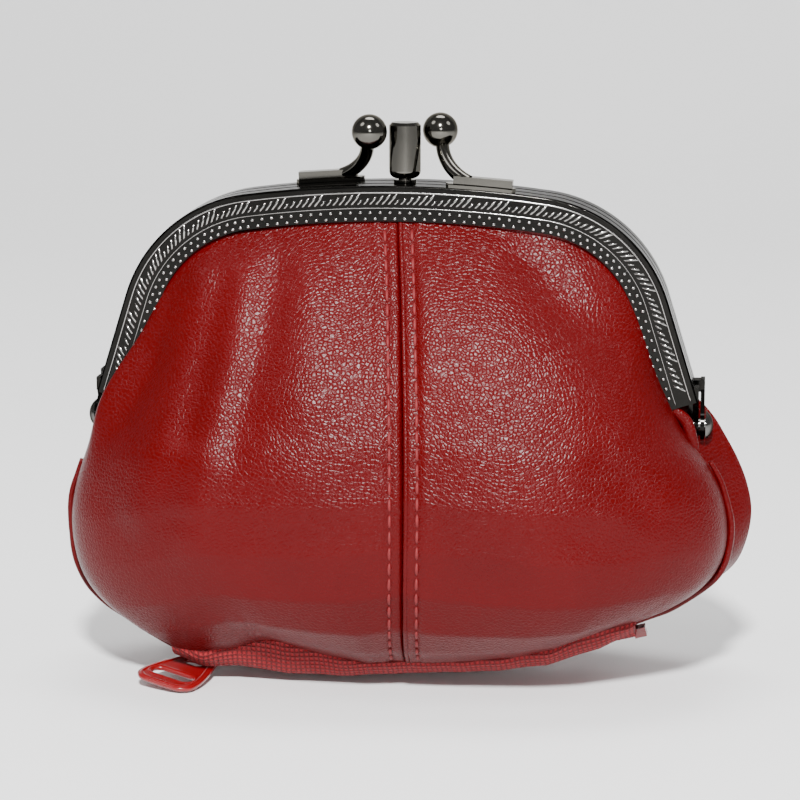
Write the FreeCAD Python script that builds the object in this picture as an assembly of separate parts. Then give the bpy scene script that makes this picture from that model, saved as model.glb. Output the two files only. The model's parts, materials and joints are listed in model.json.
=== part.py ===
"""Coin purse with three arched metal frames, two clasped compartments and a zipped pocket underneath.

Millimetres. X runs across the purse, the front faces -Y, +Z is up, and z = 0 is the surface it stands on.
The front and back frames swing about one X axis through the two side rivets. The middle frame is fixed to
the bag. The zip runs along the bottom on a shallow arc.
"""

import FreeCAD, Part
import math
import os

V = FreeCAD.Vector

# Arched frames: the outer edge is a crown arc, two shoulder arcs and two leaning legs.
HINGE_HEIGHT = 45.0
LEG_REACH = 53.0
LEG_LEAN = math.radians(17.3)
CROWN_TOP = 86.0
CROWN_RADIUS = 190.0
SHOULDER_RADIUS = 25.0
FACE_WIDTH = 6.0
SHEET = 0.5
EDGE_ROUND = 0.35
MIDDLE_HALF_DEPTH = 2.0
OUTER_NEAR = 2.3
OUTER_FAR = 6.2
FOOT_HEIGHT = 5.0
MIDDLE_FOOT_HEIGHT = 6.0

# Hinge ears, stacked along X on each side, and the rivet through them.
EAR_THICKNESS = 0.7
MIDDLE_EAR_X = 49.9
FRONT_EAR_X = 50.9
BACK_EAR_X = 51.9
EAR_RADIUS = 2.5
EAR_TOP = 52.4
EAR_SHOULDER = 50.6
EAR_CURVE = 0.7
LUG_INNER_X = 48.6
LUG_BOTTOM = 50.2
LUG_TOP = 52.2
MIDDLE_LUG_INNER_X = 47.8
MIDDLE_LUG_BOTTOM = 51.0
MIDDLE_LUG_TOP = 53.0
RIVET_RADIUS = 1.1
RIVET_CLEARANCE = 0.05
RIVET_INNER_X = 49.7
RIVET_OUTER_X = 52.8
RIVET_HEAD_RADIUS = 2.5
RIVET_HEAD_HEIGHT = 1.3
RIVET_TAIL_RADIUS = 1.9
RIVET_TAIL_HEIGHT = 0.8

# Kiss clasp: a round post on the middle frame, a ball on each side of it.
CLASP_X = 1.2
POST_RADIUS = 2.7
POST_BOTTOM = 86.7
POST_TOP = 96.2
POST_LOW_ROUND = 1.3
POST_BEVEL = 0.5
POST_NECK_RADIUS = 1.1
COLLAR_RADIUS = 1.9
COLLAR_HEIGHT = 0.5
COLLAR_SINK = 0.3
BALL_RADIUS = 3.0
BALL_X = 5.8
BALL_Y = 2.4
BALL_HEIGHT = 94.7
STEM_RADIUS = 1.15
FOOT_START_X = 8.6
FOOT_END_X = 18.6
FOOT_WIDTH = 2.6
FOOT_THICKNESS = 1.9
FOOT_SINK = 0.4
STEM_START = (11.2, 1.2)
STEM_BEND = (7.9, 2.4, 88.9)
STEM_END = (0.4, 0.4, 1.8)

# Paper cords and leather edges crimped in the channels.
CORD_RADIUS = 0.9
CORD_INSET = 1.7
LEATHER = 1.2
LEATHER_GRIP = 3.2
PIECE_GAP = 0.15

# Bag: heights with its half width and half depth there.
BAG_LEVELS = [
    (2.0, 31.0, 8.5),
    (6.0, 40.0, 14.5),
    (11.0, 47.5, 19.0),
    (18.0, 55.5, 23.6),
    (26.0, 58.6, 26.4),
    (32.0, 58.6, 26.6),
    (38.0, 56.6, 25.6),
    (44.7, 53.6, 23.8),
]
BAG_SQUARENESS = 2.3
HIGH_LEVELS = [(45.0, 23.7), (53.0, 21.0), (61.0, 17.0), (69.0, 12.2), (75.0, 8.6), (80.6, 5.8)]
HIGH_SQUARENESS = 2.2
GUSSET_HALF_WIDTH = 7.0
HINGE_NOTCH_X = 42.0
HINGE_NOTCH_Y = 16.0
HINGE_NOTCH_Z = 40.6
POCKET_FLOOR_Z = 21.0
LINING = 0.8
DIVIDER_HALF_THICKNESS = 0.6

# Zip: the coil and slider follow a circle about an axis along Y.
ZIP_CENTRE_X = -1.8
ZIP_RADIUS = 170.0
ZIP_HEIGHT = 2.6
ZIP_LEFT_X = -33.8
ZIP_RIGHT_X = 41.2
TAPE_LEFT_X = -43.0
TAPE_RIGHT_X = 46.0
FOLD_RADIUS = 110.0
FOLD_SINK = 0.5
LEATHER_EDGE_RADIUS = 150.0
LEATHER_EDGE_Z = 5.2
TAPE_THICKNESS = 0.6
TAPE_INNER_Y = 1.6
TAPE_FLAT_Y = 4.6
TAPE_FOLD_Y = 8.4
TAPE_TOP_Y = 11.6
TAPE_STATIONS = 16
COIL_INNER_Y = 0.35
COIL_OUTER_Y = 1.5
COIL_HALF_HEIGHT = 0.6
SLIDER_X = -28.3
SLIDER_LENGTH = 9.0
SLIDER_HALF_WIDTH = 3.7
SLIDER_PLATE = 0.7
SLIDER_CAVITY = 0.85
SLIDER_WALL = 0.7
SLIDER_SLOT = 0.55
SLIDER_CORNER = 1.4
WEDGE_START = 0.6
WEDGE_LENGTH = 2.0
WEDGE_HALF_WIDTH = 0.15
BRIDGE_LEG_X = 2.7
BRIDGE_BAR = 0.6
BRIDGE_GAP = 1.8
BRIDGE_WIDTH = 1.5
BRIDGE_ROUND = 0.6
STOP_LENGTH = 2.0
STOP_GAP = 0.05
STOP_HALF_WIDTH = 1.5
STOP_HALF_HEIGHT = 0.8

# Puller: an eye at the slider, a hand-sized plate with two holes.
PULLER_LENGTH = 19.0
PULLER_EYE_WIDTH = 4.6
PULLER_WAIST_WIDTH = 6.8
PULLER_END_WIDTH = 12.0
PULLER_THICKNESS = 1.0
PULLER_LOW_HALF_WIDTH = 5.04
EYE_RADIUS = 1.3
EYE_THICKNESS = 0.6
EYE_LENGTH = 2.8
PULLER_TURN = 24.0
PULLER_RIM = 0.9
PULLER_RECESS = 0.25
RECESS_START = 5.4
SMALL_SLOT = (7.8, 3.2, 1.7)
WIDE_SLOT = (14.6, 7.0, 1.9)


def arch_centres():
    """Return the crown centre, the right shoulder centre and the leg's up and inward directions (x, z)."""
    up = V(-math.sin(LEG_LEAN), 0, math.cos(LEG_LEAN))
    inward = V(-math.cos(LEG_LEAN), 0, -math.sin(LEG_LEAN))
    crown = V(0, 0, CROWN_TOP - CROWN_RADIUS)
    start = V(LEG_REACH, 0, HINGE_HEIGHT) + inward * SHOULDER_RADIUS - crown
    half_b = start.dot(up)
    reach = CROWN_RADIUS - SHOULDER_RADIUS
    along = -half_b + math.sqrt(half_b**2 - start.dot(start) + reach**2)
    shoulder = crown + start + up * along
    return crown, shoulder, up, inward


def mirrored_x(point):
    """Return the point reflected to the other side of the purse."""
    return V(-point.x, point.y, point.z)


def arch_edges(inset, foot):
    """Return the arch's edges, right foot to left foot, at an inset from the outer edge."""
    crown, shoulder, up, inward = arch_centres()
    toe = V(LEG_REACH, 0, HINGE_HEIGHT) + inward * inset + up * (foot / up.z)
    leg_end = shoulder - inward * (SHOULDER_RADIUS - inset)
    spoke = (shoulder - crown).normalize()
    crown_end = crown + spoke * (CROWN_RADIUS - inset)
    middle = (spoke - inward).normalize()
    shoulder_middle = shoulder + middle * (SHOULDER_RADIUS - inset)
    crown_middle = crown + V(0, 0, CROWN_RADIUS - inset)
    return [
        Part.makeLine(toe, leg_end),
        Part.Arc(leg_end, shoulder_middle, crown_end).toShape(),
        Part.Arc(crown_end, crown_middle, mirrored_x(crown_end)).toShape(),
        Part.Arc(mirrored_x(crown_end), mirrored_x(shoulder_middle), mirrored_x(leg_end)).toShape(),
        Part.makeLine(mirrored_x(leg_end), mirrored_x(toe)),
    ]


def arch_band(outer, inner, near, far, foot):
    """Return a solid arch between two insets and two depths."""
    outside = arch_edges(outer, foot)
    inside = arch_edges(inner, foot)
    right = Part.makeLine(outside[0].Vertexes[0].Point, inside[0].Vertexes[0].Point)
    left = Part.makeLine(outside[-1].Vertexes[-1].Point, inside[-1].Vertexes[-1].Point)
    face = Part.Face(Part.Wire(Part.__sortEdges__(outside + inside + [right, left])))
    face.translate(V(0, near, 0))
    return face.extrude(V(0, far - near, 0))


def arch_plate(inset, near, far, foot):
    """Return the solid that fills the arch within an inset."""
    edges = arch_edges(inset, foot)
    base = Part.makeLine(edges[-1].Vertexes[-1].Point, edges[0].Vertexes[0].Point)
    face = Part.Face(Part.Wire(Part.__sortEdges__(edges + [base])))
    face.translate(V(0, near, 0))
    return face.extrude(V(0, far - near, 0))


def box(low, high):
    """Return a box from its lowest to its highest corner."""
    size = [high[i] - low[i] for i in range(3)]
    return Part.makeBox(size[0], size[1], size[2], V(*low))


def both_sides(shape):
    """Return a shape and its mirror image about the centre plane."""
    return [shape, shape.mirror(V(0, 0, 0), V(1, 0, 0))]


def back_copy(shape):
    """Return the half-turned twin used on the back."""
    twin = shape.copy()
    twin.rotate(V(0, 0, 0), V(0, 0, 1), 180)
    return twin


def ear(slot_x, low_y, high_y, lug):
    """Return a hinge tab: an eye, a web up to the leg, and a lug (inner x, bottom, top) in the channel."""
    eye = Part.Edge(Part.Circle(V(slot_x, 0, HINGE_HEIGHT), V(1, 0, 0), EAR_RADIUS))
    disc = Part.Face(Part.Wire(eye)).extrude(V(EAR_THICKNESS, 0, 0))
    outward = -1 if low_y + high_y <= 0 else 1
    far_y = max(abs(low_y), abs(high_y)) * outward
    near_y = low_y + high_y - far_y
    reach = EAR_RADIUS * EAR_CURVE * outward
    outline = [
        V(slot_x, reach, HINGE_HEIGHT),
        V(slot_x, far_y, EAR_SHOULDER),
        V(slot_x, far_y, EAR_TOP),
        V(slot_x, near_y, EAR_TOP),
        V(slot_x, near_y, EAR_SHOULDER),
        V(slot_x, -reach, HINGE_HEIGHT + EAR_RADIUS * EAR_CURVE),
    ]
    web = Part.Face(Part.makePolygon(outline + outline[:1])).extrude(V(EAR_THICKNESS, 0, 0))
    inner_x, bottom, top = lug
    block = box([inner_x, low_y, bottom], [slot_x + EAR_THICKNESS, high_y, top])
    return disc.fuse([web, block]).cut(rivet_bore())


def front_ear():
    """Return the front frame's right-hand hinge tab."""
    lug = (LUG_INNER_X, LUG_BOTTOM, LUG_TOP)
    return ear(FRONT_EAR_X, -OUTER_FAR + SHEET, -OUTER_NEAR - SHEET, lug)


def back_ear():
    """Return the back frame's right-hand hinge tab, the outermost in the stack."""
    lug = (LUG_INNER_X, LUG_BOTTOM, LUG_TOP)
    return ear(BACK_EAR_X, OUTER_NEAR + SHEET, OUTER_FAR - SHEET, lug)


def middle_ear():
    """Return the middle frame's right-hand hinge tab, which hangs straight down."""
    eye = Part.Edge(Part.Circle(V(MIDDLE_EAR_X, 0, HINGE_HEIGHT), V(1, 0, 0), EAR_RADIUS))
    disc = Part.Face(Part.Wire(eye)).extrude(V(EAR_THICKNESS, 0, 0))
    web_y = MIDDLE_HALF_DEPTH - SHEET
    outer_x = MIDDLE_EAR_X + EAR_THICKNESS
    web = box([MIDDLE_EAR_X, -web_y, HINGE_HEIGHT], [outer_x, web_y, MIDDLE_LUG_TOP])
    lug = box([MIDDLE_LUG_INNER_X, -web_y, MIDDLE_LUG_BOTTOM], [outer_x, web_y, MIDDLE_LUG_TOP])
    return disc.fuse([web, lug]).cut(rivet_bore())


def rivet_bore():
    """Return the running hole that the right-hand rivet turns in."""
    radius = RIVET_RADIUS + RIVET_CLEARANCE
    length = RIVET_OUTER_X - RIVET_INNER_X + 4.0
    return Part.makeCylinder(radius, length, V(RIVET_INNER_X - 2.0, 0, HINGE_HEIGHT), V(1, 0, 0))


def rounded_outside(shape, faces_y):
    """Round the outer rim of a channel where it meets the faces at the given depths."""
    rims = []
    wanted = arch_edges(0.0, FOOT_HEIGHT)
    for edge in shape.Edges:
        middle = edge.valueAt((edge.FirstParameter + edge.LastParameter) / 2)
        flat = min(abs(middle.y - y) for y in faces_y)
        probe = Part.Vertex(V(middle.x, 0, middle.z))
        near = min(probe.distToShape(line)[0] for line in wanted)
        if flat < 1e-6 and near < 1e-6 and edge.Length > 5.0:
            rims.append(edge)
    return shape.makeFillet(EDGE_ROUND, rims)


def channel(near, far, foot):
    """Return a bent sheet channel that opens towards the bag."""
    bar = arch_band(0.0, FACE_WIDTH, near, far, foot)
    groove = arch_band(SHEET, FACE_WIDTH + 1.0, near + SHEET, far - SHEET, foot - 2.0)
    return rounded_outside(bar, [near, far]).cut(groove)


def outer_frame():
    """Return the front frame, slotted at its feet for the hinge tabs."""
    return channel(-OUTER_FAR, -OUTER_NEAR, FOOT_HEIGHT).cut(both_sides(front_ear()))


def rear_frame():
    """Return the back frame, slotted at its feet for the hinge tabs."""
    return channel(OUTER_NEAR, OUTER_FAR, FOOT_HEIGHT).cut(both_sides(back_ear()))


def middle_frame():
    """Return the fixed middle frame, slotted at its feet for the hinge tabs."""
    bar = channel(-MIDDLE_HALF_DEPTH, MIDDLE_HALF_DEPTH, MIDDLE_FOOT_HEIGHT)
    return bar.cut(both_sides(middle_ear()))


def hinge_rivet():
    """Return the right-hand rivet: shank, domed head outside and upset tail inside."""
    axis = V(1, 0, 0)
    start = V(RIVET_INNER_X, 0, HINGE_HEIGHT)
    shank = Part.makeCylinder(RIVET_RADIUS, RIVET_OUTER_X - RIVET_INNER_X, start, axis)
    sphere_radius = (RIVET_HEAD_RADIUS**2 + RIVET_HEAD_HEIGHT**2) / (2 * RIVET_HEAD_HEIGHT)
    centre_x = RIVET_OUTER_X + RIVET_HEAD_HEIGHT - sphere_radius
    ball = Part.makeSphere(sphere_radius, V(centre_x, 0, HINGE_HEIGHT))
    slab = box([RIVET_OUTER_X, -5, HINGE_HEIGHT - 5], [RIVET_OUTER_X + 5, 5, HINGE_HEIGHT + 5])
    tail_start = V(RIVET_INNER_X - RIVET_TAIL_HEIGHT, 0, HINGE_HEIGHT)
    tail = Part.makeCylinder(RIVET_TAIL_RADIUS, RIVET_TAIL_HEIGHT, tail_start, axis)
    return shank.fuse([ball.common(slab), tail]).removeSplitter()


def rim_height(x):
    """Return the height of the frames' upper rim at x, along the crown."""
    return CROWN_TOP - CROWN_RADIUS + math.sqrt(CROWN_RADIUS**2 - x**2)


def clasp_post():
    """Return the turned post: neck, rounded lower end and bevelled top."""
    body = Part.makeCylinder(POST_RADIUS, POST_TOP - POST_BOTTOM, V(CLASP_X, 0, POST_BOTTOM))
    low_rim = [e for e in body.Edges if abs(e.CenterOfMass.z - POST_BOTTOM) < 1e-6]
    body = body.makeFillet(POST_LOW_ROUND, low_rim)
    top_rim = [e for e in body.Edges if abs(e.CenterOfMass.z - POST_TOP) < 1e-6]
    body = body.makeChamfer(POST_BEVEL, top_rim)
    neck_start = CROWN_TOP + COLLAR_HEIGHT
    neck_length = POST_BOTTOM - neck_start + 1.0
    neck = Part.makeCylinder(POST_NECK_RADIUS, neck_length, V(CLASP_X, 0, neck_start))
    return body.fuse(neck).removeSplitter()


def clasp_post_collar():
    """Return the small round collar that the post is staked through."""
    base = V(CLASP_X, 0, CROWN_TOP - COLLAR_SINK)
    collar = Part.makeCylinder(COLLAR_RADIUS, COLLAR_HEIGHT + COLLAR_SINK, base)
    return collar.cut(arch_plate(0.0, -4.0, 4.0, FOOT_HEIGHT))


def clasp_ball(shift):
    """Return the front frame's ball, right of the post, moved along X by a shift."""
    return Part.makeSphere(BALL_RADIUS, V(BALL_X + shift, BALL_Y, BALL_HEIGHT))


def clasp_arm(shift):
    """Return the front clasp arm, a flat foot on the rim and a bent stem to the ball, moved by a shift."""
    foot_y = -(OUTER_NEAR + OUTER_FAR) / 2
    middle_x = (FOOT_START_X + FOOT_END_X) / 2 + shift
    slope = math.degrees(math.asin(middle_x / CROWN_RADIUS))
    rim_z = rim_height(middle_x)
    foot = box(
        [FOOT_START_X + shift, foot_y - FOOT_WIDTH / 2, rim_z - FOOT_SINK],
        [FOOT_END_X + shift, foot_y + FOOT_WIDTH / 2, rim_z + FOOT_THICKNESS],
    )
    foot.rotate(V(middle_x, foot_y, rim_z), V(0, 1, 0), slope)
    foot = foot.cut(arch_plate(0.0, -OUTER_FAR - 1.0, 0.0, FOOT_HEIGHT))
    start = V(STEM_START[0] + shift, foot_y, rim_z + STEM_START[1])
    bend = V(STEM_BEND[0] + shift, foot_y + STEM_BEND[1], STEM_BEND[2])
    end = V(BALL_X + STEM_END[0] + shift, BALL_Y - STEM_END[1], BALL_HEIGHT - STEM_END[2])
    path = Part.Wire([Part.Arc(start, bend, end).toShape()])
    heading = path.Edges[0].tangentAt(path.Edges[0].FirstParameter)
    ring = Part.Wire([Part.Edge(Part.Circle(start, heading, STEM_RADIUS))])
    stem = path.makePipeShell([ring], True, False)
    return foot.fuse(stem).cut(clasp_ball(shift))


def frame_cord(depth, foot):
    """Return the paper cord that packs a channel, at the given depth."""
    path = Part.Wire(Part.__sortEdges__(arch_edges(CORD_INSET, foot)))
    first = path.Edges[0]
    start = first.valueAt(first.FirstParameter)
    heading = first.tangentAt(first.FirstParameter)
    ring = Part.Wire([Part.Edge(Part.Circle(start, heading, CORD_RADIUS))])
    cord = path.makePipeShell([ring], True, False)
    cord.translate(V(0, depth, 0))
    return cord


def rounded_section(height, half_width, half_depth, squareness):
    """Return a closed horizontal outline shaped as a superellipse."""
    count = 24
    points = []
    for step in range(count):
        angle = 2 * math.pi * step / count
        across = abs(math.cos(angle)) ** (2 / squareness) * math.copysign(1, math.cos(angle))
        deep = abs(math.sin(angle)) ** (2 / squareness) * math.copysign(1, math.sin(angle))
        points.append(V(half_width * across, half_depth * deep, height))
    curve = Part.BSplineCurve()
    curve.interpolate(points, PeriodicFlag=True)
    return Part.Wire([curve.toShape()])


def bag_form(thickness):
    """Return the solid within the lower bag's leather, that much inside its outer surface."""
    sections = [rounded_section(z, w - thickness, d - thickness, BAG_SQUARENESS) for z, w, d in BAG_LEVELS]
    return Part.makeLoft(sections, True, False)


def arch_half_width(height, inset):
    """Return the arch's half width at a height, at an inset from its outer edge."""
    crown, shoulder, up, inward = arch_centres()
    leg = LEG_REACH - (height - HINGE_HEIGHT) * math.tan(LEG_LEAN) - inset / math.cos(LEG_LEAN)
    rise = height - shoulder.z
    radius = SHOULDER_RADIUS - inset
    if rise < -inward.z * radius:
        return leg
    if rise < radius:
        return shoulder.x + math.sqrt(radius**2 - rise**2)
    return shoulder.x


def high_form(thickness):
    """Return the solid within the front upper leather, that much inside its outer surface."""
    sections = []
    for height, depth in HIGH_LEVELS:
        half_width = arch_half_width(height, 4.4) - thickness
        half_depth = depth - thickness
        sections.append(rounded_section(height, half_width, half_depth, HIGH_SQUARENESS))
    form = Part.makeLoft(sections, True, False)
    return form.common(box([-70, -40, 40], [70, -3.6, 90]))


def lower_shell():
    """Return the leather below the hinges as one shell, open at the top and along the zip."""
    shell = bag_form(0.0).cut(bag_form(LEATHER))
    axis_z = LEATHER_EDGE_Z + LEATHER_EDGE_RADIUS
    keep = Part.makeCylinder(LEATHER_EDGE_RADIUS, 80, V(ZIP_CENTRE_X, -40, axis_z), V(0, 1, 0))
    shell = shell.common(keep)
    notches = [
        box([HINGE_NOTCH_X, -HINGE_NOTCH_Y, HINGE_NOTCH_Z], [70, HINGE_NOTCH_Y, 50]),
        box([-70, -HINGE_NOTCH_Y, HINGE_NOTCH_Z], [-HINGE_NOTCH_X, HINGE_NOTCH_Y, 50]),
    ]
    return shell.cut(notches)


def lower_panel(shell, side):
    """Return one front half of the lower leather; side is -1 for the left and 1 for the right."""
    edges = sorted([side * PIECE_GAP, side * 70])
    return shell.common(box([edges[0], -40, 0], [edges[1], -GUSSET_HALF_WIDTH - PIECE_GAP, 50]))


def gusset(shell, side):
    """Return one side gusset of the lower leather."""
    edges = sorted([side * 30, side * 70])
    return shell.common(box([edges[0], -GUSSET_HALF_WIDTH, 0], [edges[1], GUSSET_HALF_WIDTH, 50]))


def high_shell():
    """Return the front leather above the hinges, with the edge that is crimped in the channel."""
    outer = high_form(0.0)
    window = arch_plate(FACE_WIDTH + 0.2, -40, 0, 0.0)
    skin = outer.cut(high_form(LEATHER)).common(window)
    wall = arch_band(FACE_WIDTH + 0.2, FACE_WIDTH + 1.4, -40, -3.6, 0.5).common(outer)
    edge = arch_band(LEATHER_GRIP, FACE_WIDTH + 1.3, -4.9, -3.7, FOOT_HEIGHT + 1.0)
    lowest = box([-70, -40, HINGE_HEIGHT + 0.3], [70, 0, 90])
    return skin.fuse([wall, edge]).common(lowest)


def high_panel(shell, side):
    """Return one front half of the upper leather."""
    edges = sorted([side * PIECE_GAP, side * 70])
    return shell.common(box([edges[0], -40, 40], [edges[1], 0, 90]))


def divider_panel():
    """Return the partition that hangs from the middle frame between the two compartments."""
    half = DIVIDER_HALF_THICKNESS
    upper = arch_plate(LEATHER_GRIP, -half, half, 0.0)
    lower = bag_form(LEATHER + 0.2).common(box([-70, -half, POCKET_FLOOR_Z], [70, half, HINGE_HEIGHT]))
    clear = both_sides(box([46.0, -5, 40.0], [70, 5, 56.5]))
    return upper.fuse(lower).cut(clear).removeSplitter()


def pocket_floor():
    """Return the lining that closes the front compartment's bottom."""
    low = [-70, -40, POCKET_FLOOR_Z - LINING]
    high = [70, -DIVIDER_HALF_THICKNESS - 0.1, POCKET_FLOOR_Z - 0.05]
    return bag_form(LEATHER + 0.2).common(box(low, high))


def arc_rise(x, radius):
    """Return how far a circle about the zip's centre plane has risen at x."""
    return radius - math.sqrt(radius**2 - (x - ZIP_CENTRE_X) ** 2)


def tape_section(x):
    """Return the front tape's outline across the zip: a flat run at the coil, a fold, a slanted face."""
    coil_z = ZIP_HEIGHT + arc_rise(x, ZIP_RADIUS)
    fold_z = max(0.0, arc_rise(x, FOLD_RADIUS) - FOLD_SINK)
    top_z = LEATHER_EDGE_Z - 0.25 + arc_rise(x, LEATHER_EDGE_RADIUS)
    half = TAPE_THICKNESS / 2
    crease_z = fold_z + 1.3
    outline = [
        V(x, -TAPE_INNER_Y, coil_z - half),
        V(x, -TAPE_FLAT_Y, coil_z - half),
        V(x, -TAPE_FOLD_Y + 0.9, fold_z),
        V(x, -TAPE_FOLD_Y - 0.9, fold_z),
        V(x, -TAPE_TOP_Y, top_z),
        V(x, -TAPE_TOP_Y + 0.9, top_z),
        V(x, -TAPE_FOLD_Y, crease_z),
        V(x, -TAPE_FLAT_Y, coil_z + half),
        V(x, -TAPE_INNER_Y, coil_z + half),
    ]
    return Part.makePolygon(outline + outline[:1])


def station_x(step):
    """Return the place along the zip of one of its evenly spaced stations."""
    return TAPE_LEFT_X + (TAPE_RIGHT_X - TAPE_LEFT_X) * step / TAPE_STATIONS


def zip_tape():
    """Return the front zip tape."""
    sections = [tape_section(station_x(step)) for step in range(TAPE_STATIONS + 1)]
    return Part.makeLoft(sections, True, True)


def zip_axis():
    """Return a point on the axis that the slider travels round."""
    return V(ZIP_CENTRE_X, 0, ZIP_HEIGHT + ZIP_RADIUS)


def zip_angle(x):
    """Return the turn in degrees, about +Y, from the arc's lowest point to x."""
    return -math.degrees(math.asin((x - ZIP_CENTRE_X) / ZIP_RADIUS))


def along_zip(low_y, high_y, low_z, high_z, start_x, end_x):
    """Return a bar of rectangular section bent along the zip's arc; heights are from the coil's middle."""
    corners = [(low_y, low_z), (high_y, low_z), (high_y, high_z), (low_y, high_z)]
    outline = [V(ZIP_CENTRE_X, y, ZIP_HEIGHT + z) for y, z in corners]
    face = Part.Face(Part.makePolygon(outline + outline[:1]))
    face.rotate(zip_axis(), V(0, 1, 0), zip_angle(start_x))
    return face.revolve(zip_axis(), V(0, 1, 0), zip_angle(end_x) - zip_angle(start_x))


def zip_coil():
    """Return the front half of the coil as a plain bar."""
    half = COIL_HALF_HEIGHT
    return along_zip(-COIL_OUTER_Y, -COIL_INNER_Y, -half, half, ZIP_LEFT_X, ZIP_RIGHT_X)


def end_stop(start_x, end_x):
    """Return a crimped stop across both coil halves, just past the end of the coil."""
    wide = STOP_HALF_WIDTH
    tall = STOP_HALF_HEIGHT
    return along_zip(-wide, wide, -tall, tall, start_x, end_x)


def in_place(shape, x):
    """Return a shape that was drawn at the arc's lowest point, moved round to x."""
    placed = shape.copy()
    placed.rotate(zip_axis(), V(0, 1, 0), zip_angle(x))
    return placed


def slider_body():
    """Return the slider: two plates, turned-in flanges and the divider between the coil halves."""
    half_length = SLIDER_LENGTH / 2
    middle = V(ZIP_CENTRE_X, 0, ZIP_HEIGHT)
    tall = SLIDER_CAVITY + SLIDER_PLATE
    wide = SLIDER_HALF_WIDTH
    block = box(
        [middle.x - half_length, -wide, middle.z - tall],
        [middle.x + half_length, wide, middle.z + tall],
    )
    corners = [e for e in block.Edges if abs(e.Vertexes[0].Z - e.Vertexes[-1].Z) > 1.0]
    block = block.makeFillet(SLIDER_CORNER, corners)
    inside = wide - SLIDER_WALL
    cavity = box(
        [middle.x - SLIDER_LENGTH, -inside, middle.z - SLIDER_CAVITY],
        [middle.x + SLIDER_LENGTH, inside, middle.z + SLIDER_CAVITY],
    )
    slot = box(
        [middle.x - SLIDER_LENGTH, -2 * wide, middle.z - SLIDER_SLOT],
        [middle.x + SLIDER_LENGTH, 2 * wide, middle.z + SLIDER_SLOT],
    )
    wedge_x = middle.x - half_length + WEDGE_START
    wedge = box(
        [wedge_x, -WEDGE_HALF_WIDTH, middle.z - SLIDER_CAVITY - SLIDER_PLATE / 2],
        [wedge_x + WEDGE_LENGTH, WEDGE_HALF_WIDTH, middle.z + SLIDER_CAVITY + SLIDER_PLATE / 2],
    )
    return in_place(block.cut([cavity, slot]).fuse(wedge), SLIDER_X)


def slider_bridge():
    """Return the loop under the slider that the puller hangs on."""
    top_z = ZIP_HEIGHT - SLIDER_CAVITY - SLIDER_PLATE
    leg = BRIDGE_LEG_X + BRIDGE_BAR
    outer = box(
        [ZIP_CENTRE_X - leg, -BRIDGE_WIDTH / 2, top_z - BRIDGE_GAP - BRIDGE_BAR],
        [ZIP_CENTRE_X + leg, BRIDGE_WIDTH / 2, top_z],
    )
    low_edges = [
        e
        for e in outer.Edges
        if abs(e.CenterOfMass.z - outer.BoundBox.ZMin) < 1e-6 and abs(e.CenterOfMass.y) < 1e-6
    ]
    outer = outer.makeFillet(BRIDGE_ROUND, low_edges)
    gap = box(
        [ZIP_CENTRE_X - BRIDGE_LEG_X, -2, top_z - BRIDGE_GAP],
        [ZIP_CENTRE_X + BRIDGE_LEG_X, 2, top_z + 1],
    )
    return in_place(outer.cut(gap), SLIDER_X)


def puller_pivot():
    """Return the point where the puller's eye turns round the bridge's left leg."""
    height = ZIP_HEIGHT - SLIDER_CAVITY - SLIDER_PLATE - BRIDGE_GAP / 2
    point = Part.Vertex(V(ZIP_CENTRE_X - BRIDGE_LEG_X - BRIDGE_BAR / 2, 0, height))
    point.rotate(zip_axis(), V(0, 1, 0), zip_angle(SLIDER_X))
    return point.Point


def puller_outline(margin):
    """Return the plate's outline, drawn along +X from the eye, shrunk by a margin."""
    end = PULLER_LENGTH - margin
    half_end = PULLER_END_WIDTH / 2 - margin
    half_waist = PULLER_WAIST_WIDTH / 2 - margin
    half_eye = PULLER_EYE_WIDTH / 2 - margin
    back = -PULLER_EYE_WIDTH / 2 + margin
    shape = [
        (back, -half_eye * 0.55),
        (back + 1.0, -half_eye),
        (3.4, -half_waist + 0.8),
        (end * 0.62, -half_end + 0.7),
        (end - 2.8, -half_end),
        (end - 0.7, -half_end + 1.0),
        (end, -half_end + 3.2),
    ]
    points = [V(x, y, 0) for x, y in shape]
    points += [V(p.x, -p.y, 0) for p in reversed(points)]
    curve = Part.BSplineCurve()
    curve.interpolate(points, PeriodicFlag=True)
    return Part.Wire([curve.toShape()])


def slot_hole(centre_x, length, width):
    """Return a rounded slot that lies across the puller."""
    run = length / 2 - width / 2
    core = box([centre_x - width / 2, -run, -3], [centre_x + width / 2, run, 3])
    ends = [Part.makeCylinder(width / 2, 6, V(centre_x, y, -3)) for y in (-run, run)]
    return core.fuse(ends)


def puller_tilt():
    """Return the slope off the slider's plate, in degrees, with one far corner on the ground."""
    lean = math.radians(zip_angle(SLIDER_X))
    turn = math.radians(PULLER_TURN)
    low_corner = PULLER_LOW_HALF_WIDTH * math.cos(turn) * math.sin(lean)
    drop = puller_pivot().z - PULLER_THICKNESS / 2 - low_corner
    sideways = math.sin(turn) * math.sin(lean)
    swing = math.hypot(math.cos(lean), sideways)
    return math.degrees(math.asin(drop / PULLER_LENGTH / swing) + math.atan2(sideways, math.cos(lean)))


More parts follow.
